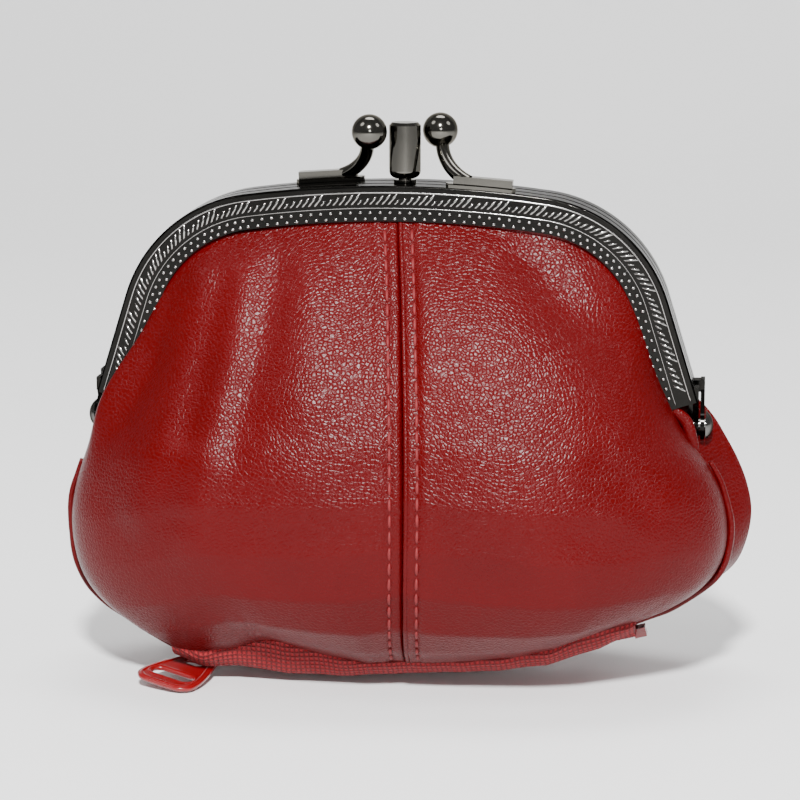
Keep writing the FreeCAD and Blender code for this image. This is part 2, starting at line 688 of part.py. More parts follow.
def zip_puller():
    """Return the puller at rest: its eye round the bridge's leg, its far end on the ground in front."""
    plate = Part.Face(puller_outline(0.0)).extrude(V(0, 0, PULLER_THICKNESS))
    plate.translate(V(0, 0, -PULLER_THICKNESS / 2))
    recess = Part.Face(puller_outline(PULLER_RIM)).extrude(V(0, 0, PULLER_THICKNESS))
    recess.translate(V(0, 0, PULLER_THICKNESS / 2 - PULLER_RECESS))
    keep_eye = box([-10, -10, -5], [RECESS_START, 10, 5])
    plate = plate.cut(recess.cut(keep_eye))
    above = box([-10, -10, EYE_THICKNESS / 2], [EYE_LENGTH, 10, 5])
    below = box([-10, -10, -5], [EYE_LENGTH, 10, -EYE_THICKNESS / 2])
    plate = plate.cut([above, below, slot_hole(*SMALL_SLOT), slot_hole(*WIDE_SLOT)])
    plate.rotate(V(0, 0, 0), V(0, 1, 0), puller_tilt())
    plate = plate.cut(Part.makeCylinder(EYE_RADIUS, 4, V(0, 0, -2)))
    plate.rotate(V(0, 0, 0), V(0, 0, 1), -90 - PULLER_TURN)
    plate.rotate(V(0, 0, 0), V(0, 1, 0), zip_angle(SLIDER_X))
    plate.translate(puller_pivot())
    return plate


def write(name, shape):
    """Write one piece and report it."""
    solids = shape.Solids
    kept = solids[0] if len(solids) == 1 else Part.makeCompound(solids)
    kept.exportStep("parts/" + name + ".step")
    print(name, "solids", len(solids), "valid", kept.isValid(), "volume", round(kept.Volume, 2))


def main():
    """Write every piece of the purse."""
    os.makedirs("parts", exist_ok=True)
    write("front_frame", outer_frame())
    write("middle_frame", middle_frame())
    write("back_frame", rear_frame())
    tabs = {"front": front_ear(), "middle": middle_ear(), "back": back_ear()}
    for frame, tab in tabs.items():
        for side, piece in zip(("right", "left"), both_sides(tab)):
            write(frame + "_" + side + "_hinge_tab", piece)
    for side, rivet in zip(("right", "left"), both_sides(hinge_rivet())):
        write(side + "_hinge_rivet", rivet)
    write("front_clasp_arm", clasp_arm(CLASP_X))
    write("back_clasp_arm", back_copy(clasp_arm(-CLASP_X)))
    write("front_clasp_ball", clasp_ball(CLASP_X))
    write("back_clasp_ball", back_copy(clasp_ball(-CLASP_X)))
    write("clasp_post", clasp_post())
    write("clasp_post_collar", clasp_post_collar())
    cord_depth = (OUTER_NEAR + OUTER_FAR) / 2
    write("front_frame_cord", frame_cord(-cord_depth, FOOT_HEIGHT + 5.0))
    write("middle_frame_cord", frame_cord(0.0, MIDDLE_FOOT_HEIGHT + 4.0))
    write("back_frame_cord", frame_cord(cord_depth, FOOT_HEIGHT + 5.0))
    low = lower_shell()
    high = high_shell()
    for name, side in (("left", -1), ("right", 1)):
        other = "right" if name == "left" else "left"
        panel = lower_panel(low, side)
        write("front_" + name + "_panel", panel)
        write("back_" + name + "_panel", panel.mirror(V(0, 0, 0), V(0, 1, 0)))
        write(name + "_gusset", gusset(low, side))
        top = high_panel(high, side)
        write("front_" + name + "_panel_top", top)
        write("back_" + other + "_panel_top", back_copy(top))
    write("divider_panel", divider_panel())
    floor = pocket_floor()
    write("front_pocket_floor", floor)
    write("back_pocket_floor", floor.mirror(V(0, 0, 0), V(0, 1, 0)))
    tape = zip_tape()
    write("front_zip_tape", tape)
    write("back_zip_tape", tape.mirror(V(0, 0, 0), V(0, 1, 0)))
    coil = zip_coil()
    write("front_zip_coil", coil)
    write("back_zip_coil", coil.mirror(V(0, 0, 0), V(0, 1, 0)))
    left_stop_x = ZIP_LEFT_X - STOP_GAP
    right_stop_x = ZIP_RIGHT_X + STOP_GAP
    write("left_zip_stop", end_stop(left_stop_x - STOP_LENGTH, left_stop_x))
    write("right_zip_stop", end_stop(right_stop_x, right_stop_x + STOP_LENGTH))
    write("zip_slider_body", slider_body())
    write("zip_slider_bridge", slider_bridge())
    write("zip_puller", zip_puller())
    print("puller pivot", puller_pivot(), "tilt", round(puller_tilt(), 2))
    travel = zip_angle(SLIDER_X) - zip_angle(ZIP_RIGHT_X - SLIDER_LENGTH / 2)
    print("slider travel, degrees", round(travel, 2))
    print("slider axis", zip_axis())


main()
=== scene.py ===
"""Looks of a soft red leather coin purse with three arched metal frames, a kiss clasp and a zip underneath.

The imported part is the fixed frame: X across the purse, the front faces -Y, +Z up. Shapes are written in
millimetres and turned into metres when a mesh is made.
"""

from __future__ import annotations

import json
import logging
import math
from dataclasses import dataclass, field
from enum import Enum
from typing import Callable, Sequence, Union

import bpy
import numpy as np
from mathutils import Matrix, Vector, noise
from mathutils.bvhtree import BVHTree

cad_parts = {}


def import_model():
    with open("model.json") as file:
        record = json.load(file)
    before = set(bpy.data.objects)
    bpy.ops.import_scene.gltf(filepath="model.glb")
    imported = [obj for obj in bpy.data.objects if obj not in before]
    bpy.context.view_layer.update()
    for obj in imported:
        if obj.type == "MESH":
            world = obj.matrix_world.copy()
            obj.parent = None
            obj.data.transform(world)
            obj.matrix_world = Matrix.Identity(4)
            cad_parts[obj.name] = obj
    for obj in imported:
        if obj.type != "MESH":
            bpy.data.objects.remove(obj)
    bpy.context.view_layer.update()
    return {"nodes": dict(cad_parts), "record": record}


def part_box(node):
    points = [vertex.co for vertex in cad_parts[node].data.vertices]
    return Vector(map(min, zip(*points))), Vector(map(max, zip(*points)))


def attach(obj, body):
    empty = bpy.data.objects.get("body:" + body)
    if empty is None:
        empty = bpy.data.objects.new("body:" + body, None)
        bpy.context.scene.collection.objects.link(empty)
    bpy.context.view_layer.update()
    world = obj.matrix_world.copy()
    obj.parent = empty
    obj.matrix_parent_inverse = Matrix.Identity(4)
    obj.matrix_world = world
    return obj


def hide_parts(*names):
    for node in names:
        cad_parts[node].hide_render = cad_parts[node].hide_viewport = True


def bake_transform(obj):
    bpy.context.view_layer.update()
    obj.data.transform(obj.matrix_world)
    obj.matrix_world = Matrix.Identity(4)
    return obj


LOG = logging.getLogger("coin_purse")
MM = 0.001
Colour = tuple[float, float, float, float]
Points = np.ndarray


class Body(str, Enum):
    """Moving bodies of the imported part."""

    PURSE = "purse_body"
    FRONT = "front_half"
    BACK = "back_half"
    PULLER = "zip_puller"


class Slot(str, Enum):
    """Material slots of the record."""

    FRAME = "frame_metal"
    CLASP = "clasp_metal"
    LEATHER = "red_leather"
    LINING = "lining"
    CORD = "paper_cord"
    TAPE = "zip_tape"
    COIL = "zip_coil"
    ENAMEL = "zip_enamel"


class Side(int, Enum):
    """Left or right of the purse, seen from the front."""

    LEFT = -1
    RIGHT = 1


class Face(str, Enum):
    """Front or back of the purse."""

    FRONT = "front"
    BACK = "back"

    @property
    def body(self) -> Body:
        """The body that this face's frame belongs to."""
        return Body.FRONT if self is Face.FRONT else Body.BACK

    def turn(self, points: Points) -> Points:
        """Turn front geometry half round for the back.

        Args:
            points: Points drawn for the front.

        Returns:
            The same points, or their half-turned copy for the back.
        """
        return points if self is Face.FRONT else points * np.array([-1.0, -1.0, 1.0])


# ---------------------------------------------------------------- shader tools


class Field:
    """One shader value with arithmetic that adds Math nodes."""

    def __init__(self, shader: "Shader", socket: bpy.types.NodeSocket) -> None:
        """Wrap a socket.

        Args:
            shader: The shader that the socket belongs to.
            socket: The output socket.
        """
        self.shader = shader
        self.socket = socket

    def _math(self, operation: str, *values: "Value") -> "Field":
        """Return the result of one Math node."""
        node = self.shader.node("ShaderNodeMath", {"operation": operation}, dict(enumerate(values)))
        return Field(self.shader, node.outputs[0])

    def __add__(self, other: "Value") -> "Field":
        """Sum."""
        return self._math("ADD", self, other)

    def __radd__(self, other: "Value") -> "Field":
        """Reflected sum."""
        return self._math("ADD", other, self)

    def __sub__(self, other: "Value") -> "Field":
        """Difference."""
        return self._math("SUBTRACT", self, other)

    def __rsub__(self, other: "Value") -> "Field":
        """Reflected difference."""
        return self._math("SUBTRACT", other, self)

    def __mul__(self, other: "Value") -> "Field":
        """Product."""
        return self._math("MULTIPLY", self, other)

    def __rmul__(self, other: "Value") -> "Field":
        """Reflected product."""
        return self._math("MULTIPLY", other, self)

    def __pow__(self, other: "Value") -> "Field":
        """Power."""
        return self._math("POWER", self, other)

    def sine(self) -> "Field":
        """Return the sine of the value."""
        return self._math("SINE", self)

    def absolute(self) -> "Field":
        """Return the size of the value without its sign."""
        return self._math("ABSOLUTE", self)

    def clamped(self) -> "Field":
        """Return the value kept between 0 and 1."""
        node = self.shader.node("ShaderNodeClamp", {}, {0: self})
        return Field(self.shader, node.outputs[0])


Value = Union[Field, float, Sequence[float]]


class Shader:
    """Builds one material around a Principled shader."""

    def __init__(self, name: str) -> None:
        """Make an empty material.

        Args:
            name: The material's name.
        """
        self.material = bpy.data.materials.new(name)
        self.material.use_nodes = True
        self.tree = self.material.node_tree
        self.tree.nodes.clear()
        self.output = self.tree.nodes.new("ShaderNodeOutputMaterial")

    def node(
        self, kind: str, settings: dict[str, object], inputs: dict[Union[str, int], Value]
    ) -> bpy.types.Node:
        """Add a node, set its options, then its inputs.

        Args:
            kind: The node's type name.
            settings: Attributes to set before the inputs.
            inputs: Socket names or numbers with a value or a Field to link.

        Returns:
            The new node.
        """
        made = self.tree.nodes.new(kind)
        for key, value in settings.items():
            setattr(made, key, value)
        for key, value in inputs.items():
            if isinstance(value, Field):
                self.tree.links.new(value.socket, made.inputs[key])
            else:
                made.inputs[key].default_value = value
        return made

    def place(self) -> Field:
        """Return the object-space position, in metres."""
        return Field(self, self.node("ShaderNodeTexCoord", {}, {}).outputs["Object"])

    def cloth(self) -> Field:
        """Return the position along the cloth, in millimetres."""
        return Field(self, self.node("ShaderNodeTexCoord", {}, {}).outputs["UV"])

    def axis(self, vector: Field, name: str) -> Field:
        """Return one coordinate of a vector.

        Args:
            vector: The vector.
            name: X, Y or Z.

        Returns:
            That coordinate.
        """
        return Field(self, self.node("ShaderNodeSeparateXYZ", {}, {0: vector}).outputs[name])

    def noise(self, scale: float, detail: float = 2.0) -> Field:
        """Return smooth noise from 0 to 1, read at the object-space position.

        Args:
            scale: Repeats for each metre.
            detail: Octaves.

        Returns:
            The noise.
        """
        inputs = {"Vector": self.place(), "Scale": scale, "Detail": detail}
        return Field(self, self.node("ShaderNodeTexNoise", {}, inputs).outputs["Fac"])

    def cells(self, scale: float, feature: str) -> Field:
        """Return the distance inside small cells.

        Args:
            scale: Cells for each metre.
            feature: Which distance is measured.

        Returns:
            The distance.
        """
        inputs = {"Vector": self.place(), "Scale": scale}
        made = self.node("ShaderNodeTexVoronoi", {"feature": feature}, inputs)
        return Field(self, made.outputs["Distance"])

    def blend(self, factor: Value, first: Colour, second: Colour) -> Field:
        """Return a mix of two colours.

        Args:
            factor: How much of the second colour.
            first: The first colour.
            second: The second colour.

        Returns:
            The mixed colour.
        """
        node = self.node("ShaderNodeMix", {"data_type": "RGBA"}, {0: factor, 6: first, 7: second})
        return Field(self, node.outputs[2])

    def bump(self, height: Field, distance: float, strength: float = 1.0) -> Field:
        """Return a normal bent by a height.

        Args:
            height: The height, from 0 to 1.
            distance: What 1 stands for, in metres.
            strength: How much of it shows.

        Returns:
            The normal.
        """
        inputs = {"Height": height, "Distance": distance, "Strength": strength}
        return Field(self, self.node("ShaderNodeBump", {}, inputs).outputs["Normal"])

    def surface(self, **inputs: Value) -> bpy.types.Material:
        """Finish the material with a Principled shader.

        Args:
            **inputs: Socket values; underscores stand for spaces.

        Returns:
            The material.
        """
        named = {key.replace("_", " "): value for key, value in inputs.items()}
        shader = self.node("ShaderNodeBsdfPrincipled", {}, named)
        self.tree.links.new(shader.outputs[0], self.output.inputs[0])
        return self.material


@dataclass(frozen=True)
class BlackNickel:
    """Polished dark nickel plating."""

    name: str = "black_nickel"
    colour: Colour = (0.007, 0.0068, 0.0064, 1.0)
    worn: Colour = (0.016, 0.0152, 0.014, 1.0)
    roughness: float = 0.08
    rim: Colour = (0.22, 0.215, 0.21, 1.0)

    def material(self) -> bpy.types.Material:
        """Return the finish as a material."""
        shader = Shader(self.name)
        smudge = shader.noise(180.0, 4.0)
        return shader.surface(
            Base_Color=shader.blend(smudge, self.colour, self.worn),
            Metallic=1.0,
            Roughness=smudge * 0.12 + self.roughness,
            Specular_Tint=self.rim,
        )


@dataclass(frozen=True)
class RedLeather:
    """Soft glazed lambskin with a fine pebbled grain."""

    name: str = "red_leather"
    colour: Colour = (0.058, 0.0005, 0.0010, 1.0)
    light: Colour = (0.082, 0.0009, 0.0016, 1.0)
    grain_scale: float = 1500.0
    fine_scale: float = 3000.0
    grain_depth: float = 0.00010

    def material(self) -> bpy.types.Material:
        """Return the finish as a material."""
        shader = Shader(self.name)
        pebble = (shader.cells(self.grain_scale, "DISTANCE_TO_EDGE") * 3.2).clamped() ** 0.6
        fine = shader.noise(self.fine_scale, 3.0)
        soft = shader.noise(60.0, 3.0)
        height = pebble * 0.62 + fine * 0.38
        return shader.surface(
            Base_Color=shader.blend(soft, self.colour, self.light),
            Roughness=0.22 + fine * 0.09 + soft * 0.05,
            Specular_IOR_Level=0.13,
            Normal=shader.bump(height, self.grain_depth, 0.8),
        )


@dataclass(frozen=True)
class Woven:
    """Plain woven cloth, drawn along the cloth's own coordinates in millimetres."""

    name: str
    colour: Colour
    dark: Colour
    pitch: float
    roughness: float = 0.85
    depth: float = 0.0002

    def material(self) -> bpy.types.Material:
        """Return the finish as a material."""
        shader = Shader(self.name)
        along = shader.axis(shader.cloth(), "X") + shader.noise(120.0) * 0.35
        across = shader.axis(shader.cloth(), "Y") + shader.noise(90.0) * 0.35
        turn = 2.0 * math.pi / self.pitch
        rows = (along * turn).sine() * (across * turn).sine()
        weave = (rows.absolute() ** 0.6).clamped()
        mottled = shader.noise(400.0, 4.0)
        return shader.surface(
            Base_Color=shader.blend(weave * 0.75 + mottled * 0.25, self.dark, self.colour),
            Roughness=self.roughness + mottled * 0.1,
            Normal=shader.bump(weave, self.depth),
        )


@dataclass(frozen=True)
class Glossy:
    """Smooth plastic, enamel or thread with a slight mottle."""

    name: str
    colour: Colour
    dark: Colour
    roughness: float
    coat: float = 0.0
    mottle: float = 300.0
    depth: float = 0.00004

    def material(self) -> bpy.types.Material:
        """Return the finish as a material."""
        shader = Shader(self.name)
        mottled = shader.noise(self.mottle, 3.0)
        return shader.surface(
            Base_Color=shader.blend(mottled, self.dark, self.colour),
            Roughness=self.roughness + mottled * 0.08,
            Coat_Weight=self.coat,
            Normal=shader.bump(mottled, self.depth),
        )


@dataclass
class Finishes:
    """Every finish of the purse, made once."""

    nickel: bpy.types.Material
    clasp: bpy.types.Material
    bright: bpy.types.Material
    stamped: bpy.types.Material
    leather: bpy.types.Material
    lining: bpy.types.Material
    cord: bpy.types.Material
    tape: bpy.types.Material
    coil: bpy.types.Material
    enamel: bpy.types.Material
    thread: bpy.types.Material

    @classmethod
    def make(cls) -> "Finishes":
        """Return all the finishes."""
        return cls(
            nickel=BlackNickel().material(),
            # Painted reflection: the clasp is the same dark nickel as the frames, drawn in a much lighter
            # copy with a bright rim tint so that its colour shows reflections.
            clasp=BlackNickel(
                "clasp_nickel_painted_reflection", (0.075, 0.072, 0.064, 1.0), (0.13, 0.124, 0.11, 1.0),
                roughness=0.06, rim=(0.62, 0.6, 0.56, 1.0),
            ).material(),
            bright=BlackNickel(
                "rivet_nickel", (0.11, 0.107, 0.10, 1.0), (0.18, 0.175, 0.17, 1.0), roughness=0.12
            ).material(),
            # Painted glint: the stamped beads, strokes and lines are the frame's own nickel, drawn in a far
            # lighter copy so that their colour shows glints.
            stamped=BlackNickel(
                "stamped_nickel_painted_glint", (0.24, 0.235, 0.225, 1.0), (0.34, 0.33, 0.32, 1.0), roughness=0.12
            ).material(),
            leather=RedLeather().material(),
            lining=Woven(
                "lining_cloth", (0.22, 0.012, 0.015, 1.0), (0.10, 0.006, 0.008, 1.0), pitch=0.7
            ).material(),
            cord=Glossy(
                "kraft_cord", (0.62, 0.48, 0.32, 1.0), (0.42, 0.30, 0.18, 1.0), roughness=0.8, mottle=500.0
            ).material(),
            tape=Woven(
                "zip_tape_weave", (0.26, 0.003, 0.007, 1.0), (0.09, 0.001, 0.002, 1.0),
                pitch=1.7, roughness=0.8, depth=0.0004,
            ).material(),
            coil=Glossy(
                "nylon_coil", (0.18, 0.004, 0.006, 1.0), (0.12, 0.002, 0.003, 1.0), roughness=0.4
            ).material(),
            enamel=Glossy(
                "red_enamel", (0.20, 0.003, 0.005, 1.0), (0.16, 0.002, 0.003, 1.0),
                roughness=0.24, coat=0.5, mottle=120.0,
            ).material(),
            thread=Glossy(
                "thread", (0.17, 0.002, 0.004, 1.0), (0.10, 0.001, 0.002, 1.0), roughness=0.62, mottle=900.0
            ).material(),
        )


# ---------------------------------------------------------------- mesh tools


@dataclass
class MeshParts:
    """Collects vertices and faces in millimetres, then makes one object."""

    verts: list[Points] = field(default_factory=list)
    faces: list[tuple[int, ...]] = field(default_factory=list)
    slots: list[int] = field(default_factory=list)
    cloth: list[Points] = field(default_factory=list)
    count: int = 0

    def add(
        self, verts: Points, faces: Sequence[Sequence[int]], slot: int = 0, cloth: Points | None = None
    ) -> None:
        """Add a piece.

        Args:
            verts: Its vertices, n by 3.
            faces: Its faces, numbered from 0.
            slot: Its material number.
            cloth: Its position along the cloth, n by 2.
        """
        self.verts.append(np.asarray(verts, float))
        self.cloth.append(np.asarray(verts, float)[:, [0, 2]] if cloth is None else cloth)
        self.faces += [tuple(int(i) + self.count for i in f) for f in faces]
        self.slots += [slot] * len(faces)
        self.count += len(verts)

    def build(self, name: str, materials: Sequence[bpy.types.Material], slot: Slot) -> bpy.types.Object:
        """Make the object.

        Args:
            name: Its name.
            materials: Its materials, in slot order.
            slot: The record's material slot; not used.

        Returns:
            The linked object.
        """
        mesh = bpy.data.meshes.new(name)
        points = np.concatenate(self.verts) * MM
        mesh.from_pydata(points.tolist(), [], self.faces)
        for material in materials:
            mesh.materials.append(material)
        mesh.polygons.foreach_set("material_index", self.slots)
        mesh.polygons.foreach_set("use_smooth", [True] * len(self.faces))
        corners = np.zeros(len(mesh.loops), np.int32)
        mesh.loops.foreach_get("vertex_index", corners)
        layer = mesh.uv_layers.new(name="cloth")
        layer.data.foreach_set("uv", np.concatenate(self.cloth)[corners].ravel())
        mesh.update()
        made = bpy.data.objects.new(name, mesh)
        bpy.context.scene.collection.objects.link(made)
        return made


def grid_faces(rows: int, columns: int, closed: bool = False) -> list[tuple[int, int, int, int]]:
    """Return the quads of a grid of vertices.

    Args:
        rows: Number of rows.
        columns: Vertices in each row.
        closed: True if each row joins up with its own start.

    Returns:
        The faces.
    """
    last = columns if closed else columns - 1
    faces = []
    for row in range(rows - 1):
        here, above = row * columns, (row + 1) * columns
        for column in range(last):
            after = (column + 1) % columns
            faces.append((here + column, here + after, above + after, above + column))
    return faces


def grid_normals(points: Points) -> Points:
    """Return unit normals of a grid of points, rows by columns by 3.

    Args:
        points: The grid.

    Returns:
        One normal for each point.
    """
    normal = np.cross(np.gradient(points, axis=1), np.gradient(points, axis=0))
    length = np.linalg.norm(normal, axis=2, keepdims=True)
    return normal / np.maximum(length, 1e-9)


def add_shell(parts: MeshParts, points: Points, thickness: float, outward: Points) -> None:
    """Add a closed sheet of even thickness whose outer face is the grid.

    Args:
        parts: Where to add it.
        points: The outer face, rows by columns by 3.
        thickness: The sheet's thickness.
        outward: A rough outward direction.
    """
    rows, columns, _ = points.shape
    normals = grid_normals(points)
    if np.mean(normals @ np.asarray(outward, float)) < 0:
        normals = -normals
        outer = grid_faces(rows, columns)
    else:
        outer = [f[::-1] for f in grid_faces(rows, columns)]
    inner_points = points - normals * thickness
    steps = np.linalg.norm(np.diff(points, axis=1), axis=2)
    rises = np.linalg.norm(np.diff(points, axis=0), axis=2)
    along = np.concatenate([np.zeros((rows, 1)), np.cumsum(steps, axis=1)], axis=1)
    up = np.concatenate([np.zeros((1, columns)), np.cumsum(rises, axis=0)], axis=0)
    cloth = np.stack([along, up], axis=2).reshape(-1, 2)
    size = rows * columns
    parts.add(points.reshape(-1, 3), outer, 0, cloth)
    base = parts.count - size
    parts.add(inner_points.reshape(-1, 3), [f[::-1] for f in outer], 1, cloth)
    rim = [r * columns for r in range(rows)] + [(rows - 1) * columns + c for c in range(1, columns)]
    rim += [r * columns + columns - 1 for r in range(rows - 2, -1, -1)]
    rim += list(range(columns - 2, 0, -1))
    for here, there in zip(rim, rim[1:] + rim[:1]):
        parts.faces.append((base + here, base + there, base + size + there, base + size + here))
        parts.slots.append(0)


def frames_along(path: Points) -> tuple[Points, Points, Points]:
    """Return tangents and two side directions that turn smoothly along a path.

    Args:
        path: The path's points.

    Returns:
        Tangents, first sides and second sides.
    """
    tangents = np.gradient(path, axis=0)
    tangents /= np.linalg.norm(tangents, axis=1, keepdims=True)
    side = np.cross(tangents[0], [0.0, 1.0, 0.0])
    if np.linalg.norm(side) < 0.1:
        side = np.cross(tangents[0], [0.0, 0.0, 1.0])
    firsts = []
    for tangent in tangents:
        side = side - tangent * (side @ tangent)
        side = side / np.linalg.norm(side)
        firsts.append(side)
    firsts = np.array(firsts)
    return tangents, firsts, np.cross(tangents, firsts)


def add_tube(parts: MeshParts, path: Points, radius: Union[float, Points], sides: int) -> None:
    """Add a tube along a path, with closed ends.

    Args:
        parts: Where to add it.
        path: The path's points.
        radius: One radius, or one for each point and side.
        sides: Number of sides.
    """
    _, first, second = frames_along(path)
    angles = np.linspace(0.0, 2.0 * math.pi, sides, endpoint=False)
    radii = np.broadcast_to(np.asarray(radius, float), (len(path), sides)) if np.ndim(radius) != 1 else (
        np.repeat(np.asarray(radius, float)[:, None], sides, axis=1)
    )
    across, up = np.cos(angles)[None, :, None], np.sin(angles)[None, :, None]
    ring = first[:, None, :] * across + second[:, None, :] * up
    verts = path[:, None, :] + ring * radii[:, :, None]
    faces = [f[::-1] for f in grid_faces(len(path), sides, True)]
    faces.append(tuple(range(sides)))
    faces.append(tuple(reversed(range((len(path) - 1) * sides, len(path) * sides))))
    length = np.concatenate([[0.0], np.cumsum(np.linalg.norm(np.diff(path, axis=0), axis=1))])
    cloth = np.stack(np.broadcast_arrays(length[:, None], angles[None, :]), axis=2).reshape(-1, 2)
    parts.add(verts.reshape(-1, 3), faces, 0, cloth)


def smooth_line(points: Sequence[Sequence[float]], count: int) -> Points:
    """Return evenly spaced points on a smooth line through the given ones.

    Args:
        points: The points to pass through.
        count: How many to return.

    Returns:
        The resampled line.
    """
    known = np.asarray(points, float)
    padded = np.concatenate([2 * known[:1] - known[1:2], known, 2 * known[-1:] - known[-2:-1]])
    pieces = []
    for i in range(len(known) - 1):
        a, b, c, d = padded[i : i + 4]
        t = np.linspace(0.0, 1.0, 24, endpoint=False)[:, None]
        square, cube = 2 * a - 5 * b + 4 * c - d, 3 * b - a - 3 * c + d
        pieces.append(0.5 * (2 * b + (c - a) * t + square * t**2 + cube * t**3))
    dense = np.concatenate(pieces + [known[-1:]])
    length = np.concatenate([[0.0], np.cumsum(np.linalg.norm(np.diff(dense, axis=0), axis=1))])
    wanted = np.linspace(0.0, length[-1], count)
    return np.stack([np.interp(wanted, length, dense[:, k]) for k in range(dense.shape[1])], axis=1)


def bell(value: Union[float, Points], centre: float, width: float) -> Union[float, Points]:
    """Return a smooth hump of height 1.

    Args:
        value: Where to read it.
        centre: The hump's middle.
        width: Its half width.

    Returns:
        The height.
    """
    return np.exp(-(((value - centre) / width) ** 2))


def wander(x: float, z: float, size: float, seed: float) -> float:
    """Return smooth deterministic noise from about -1 to 1.

    Args:
        x: First coordinate.
        z: Second coordinate.
        size: Size of its features.
        seed: Which pattern.

    Returns:
        The noise.
    """
    return noise.noise(Vector((x / size, z / size, seed)))


# ---------------------------------------------------------------- the frames


@dataclass(frozen=True)
class Arch:
    """The line of the metal frames: a crown arc, two shoulder arcs and two leaning legs."""

    hinge_height: float = 45.0
    leg_reach: float = 53.0
    lean: float = math.radians(17.3)
    crown_top: float = 86.0
    crown_radius: float = 190.0
    shoulder_radius: float = 25.0
    foot_height: float = 5.0
    face_depth: float = 6.2

    def parts(self) -> tuple[Points, Points, float, float, float, float]:
        """Return crown centre, shoulder centre, two angles and the lengths up to the leg and its end."""
        up = np.array([-math.sin(self.lean), math.cos(self.lean)])
        inward = np.array([-math.cos(self.lean), -math.sin(self.lean)])
        crown = np.array([0.0, self.crown_top - self.crown_radius])
        foot = np.array([self.leg_reach, self.hinge_height])
        start = foot + inward * self.shoulder_radius - crown
        half_b = start @ up
        reach = self.crown_radius - self.shoulder_radius
        along = -half_b + math.sqrt(half_b**2 - start @ start + reach**2)
        shoulder = crown + start + up * along
        spoke = shoulder - crown
        first = math.atan2(spoke[0], spoke[1])
        second = math.pi / 2 - self.lean
        return crown, shoulder, first, second, first * self.crown_radius, along - self.foot_height / up[1]

    @property
    def half_length(self) -> float:
        """Length of the outer edge from the middle to a foot."""
        _, _, first, second, crown, leg = self.parts()
        return crown + (second - first) * self.shoulder_radius + leg

    @property
    def shoulder_middle(self) -> float:
        """Length of the outer edge from the middle to the middle of a shoulder."""
        _, _, first, second, crown, _ = self.parts()
        return crown + (second - first) * self.shoulder_radius / 2

    def at(self, distance: float, inset: float) -> tuple[float, float, float]:
        """Return a place on the arch.

        Args:
            distance: Length along the outer edge from its middle; positive to the right.
            inset: Distance inwards from the outer edge.

        Returns:
            x, z, and the outward direction's angle from straight up.
        """
        crown, shoulder, first, second, crown_length, _ = self.parts()
        size = abs(distance)
        shoulder_length = (second - first) * self.shoulder_radius
        if size <= crown_length:
            angle = size / self.crown_radius
            centre, radius, drop = crown, self.crown_radius - inset, 0.0
        elif size <= crown_length + shoulder_length:
            angle = first + (size - crown_length) / self.shoulder_radius
            centre, radius, drop = shoulder, self.shoulder_radius - inset, 0.0
        else:
            angle = second
            centre, radius = shoulder, self.shoulder_radius - inset
            drop = size - crown_length - shoulder_length
        x = centre[0] + radius * math.sin(angle) + drop * math.sin(self.lean)
        z = centre[1] + radius * math.cos(angle) - drop * math.cos(self.lean)
        sign = math.copysign(1.0, distance)
        return sign * x, z, sign * angle

    def line(self, inset: float, start: float, end: float, count: int) -> Points:
        """Return points along the arch.

        Args:
            inset: Distance inwards from the outer edge.
            start: First distance from the middle.
            end: Last distance.
            count: How many points.

        Returns:
            Points as x, z.
        """
        return np.array([self.at(d, inset)[:2] for d in np.linspace(start, end, count)])


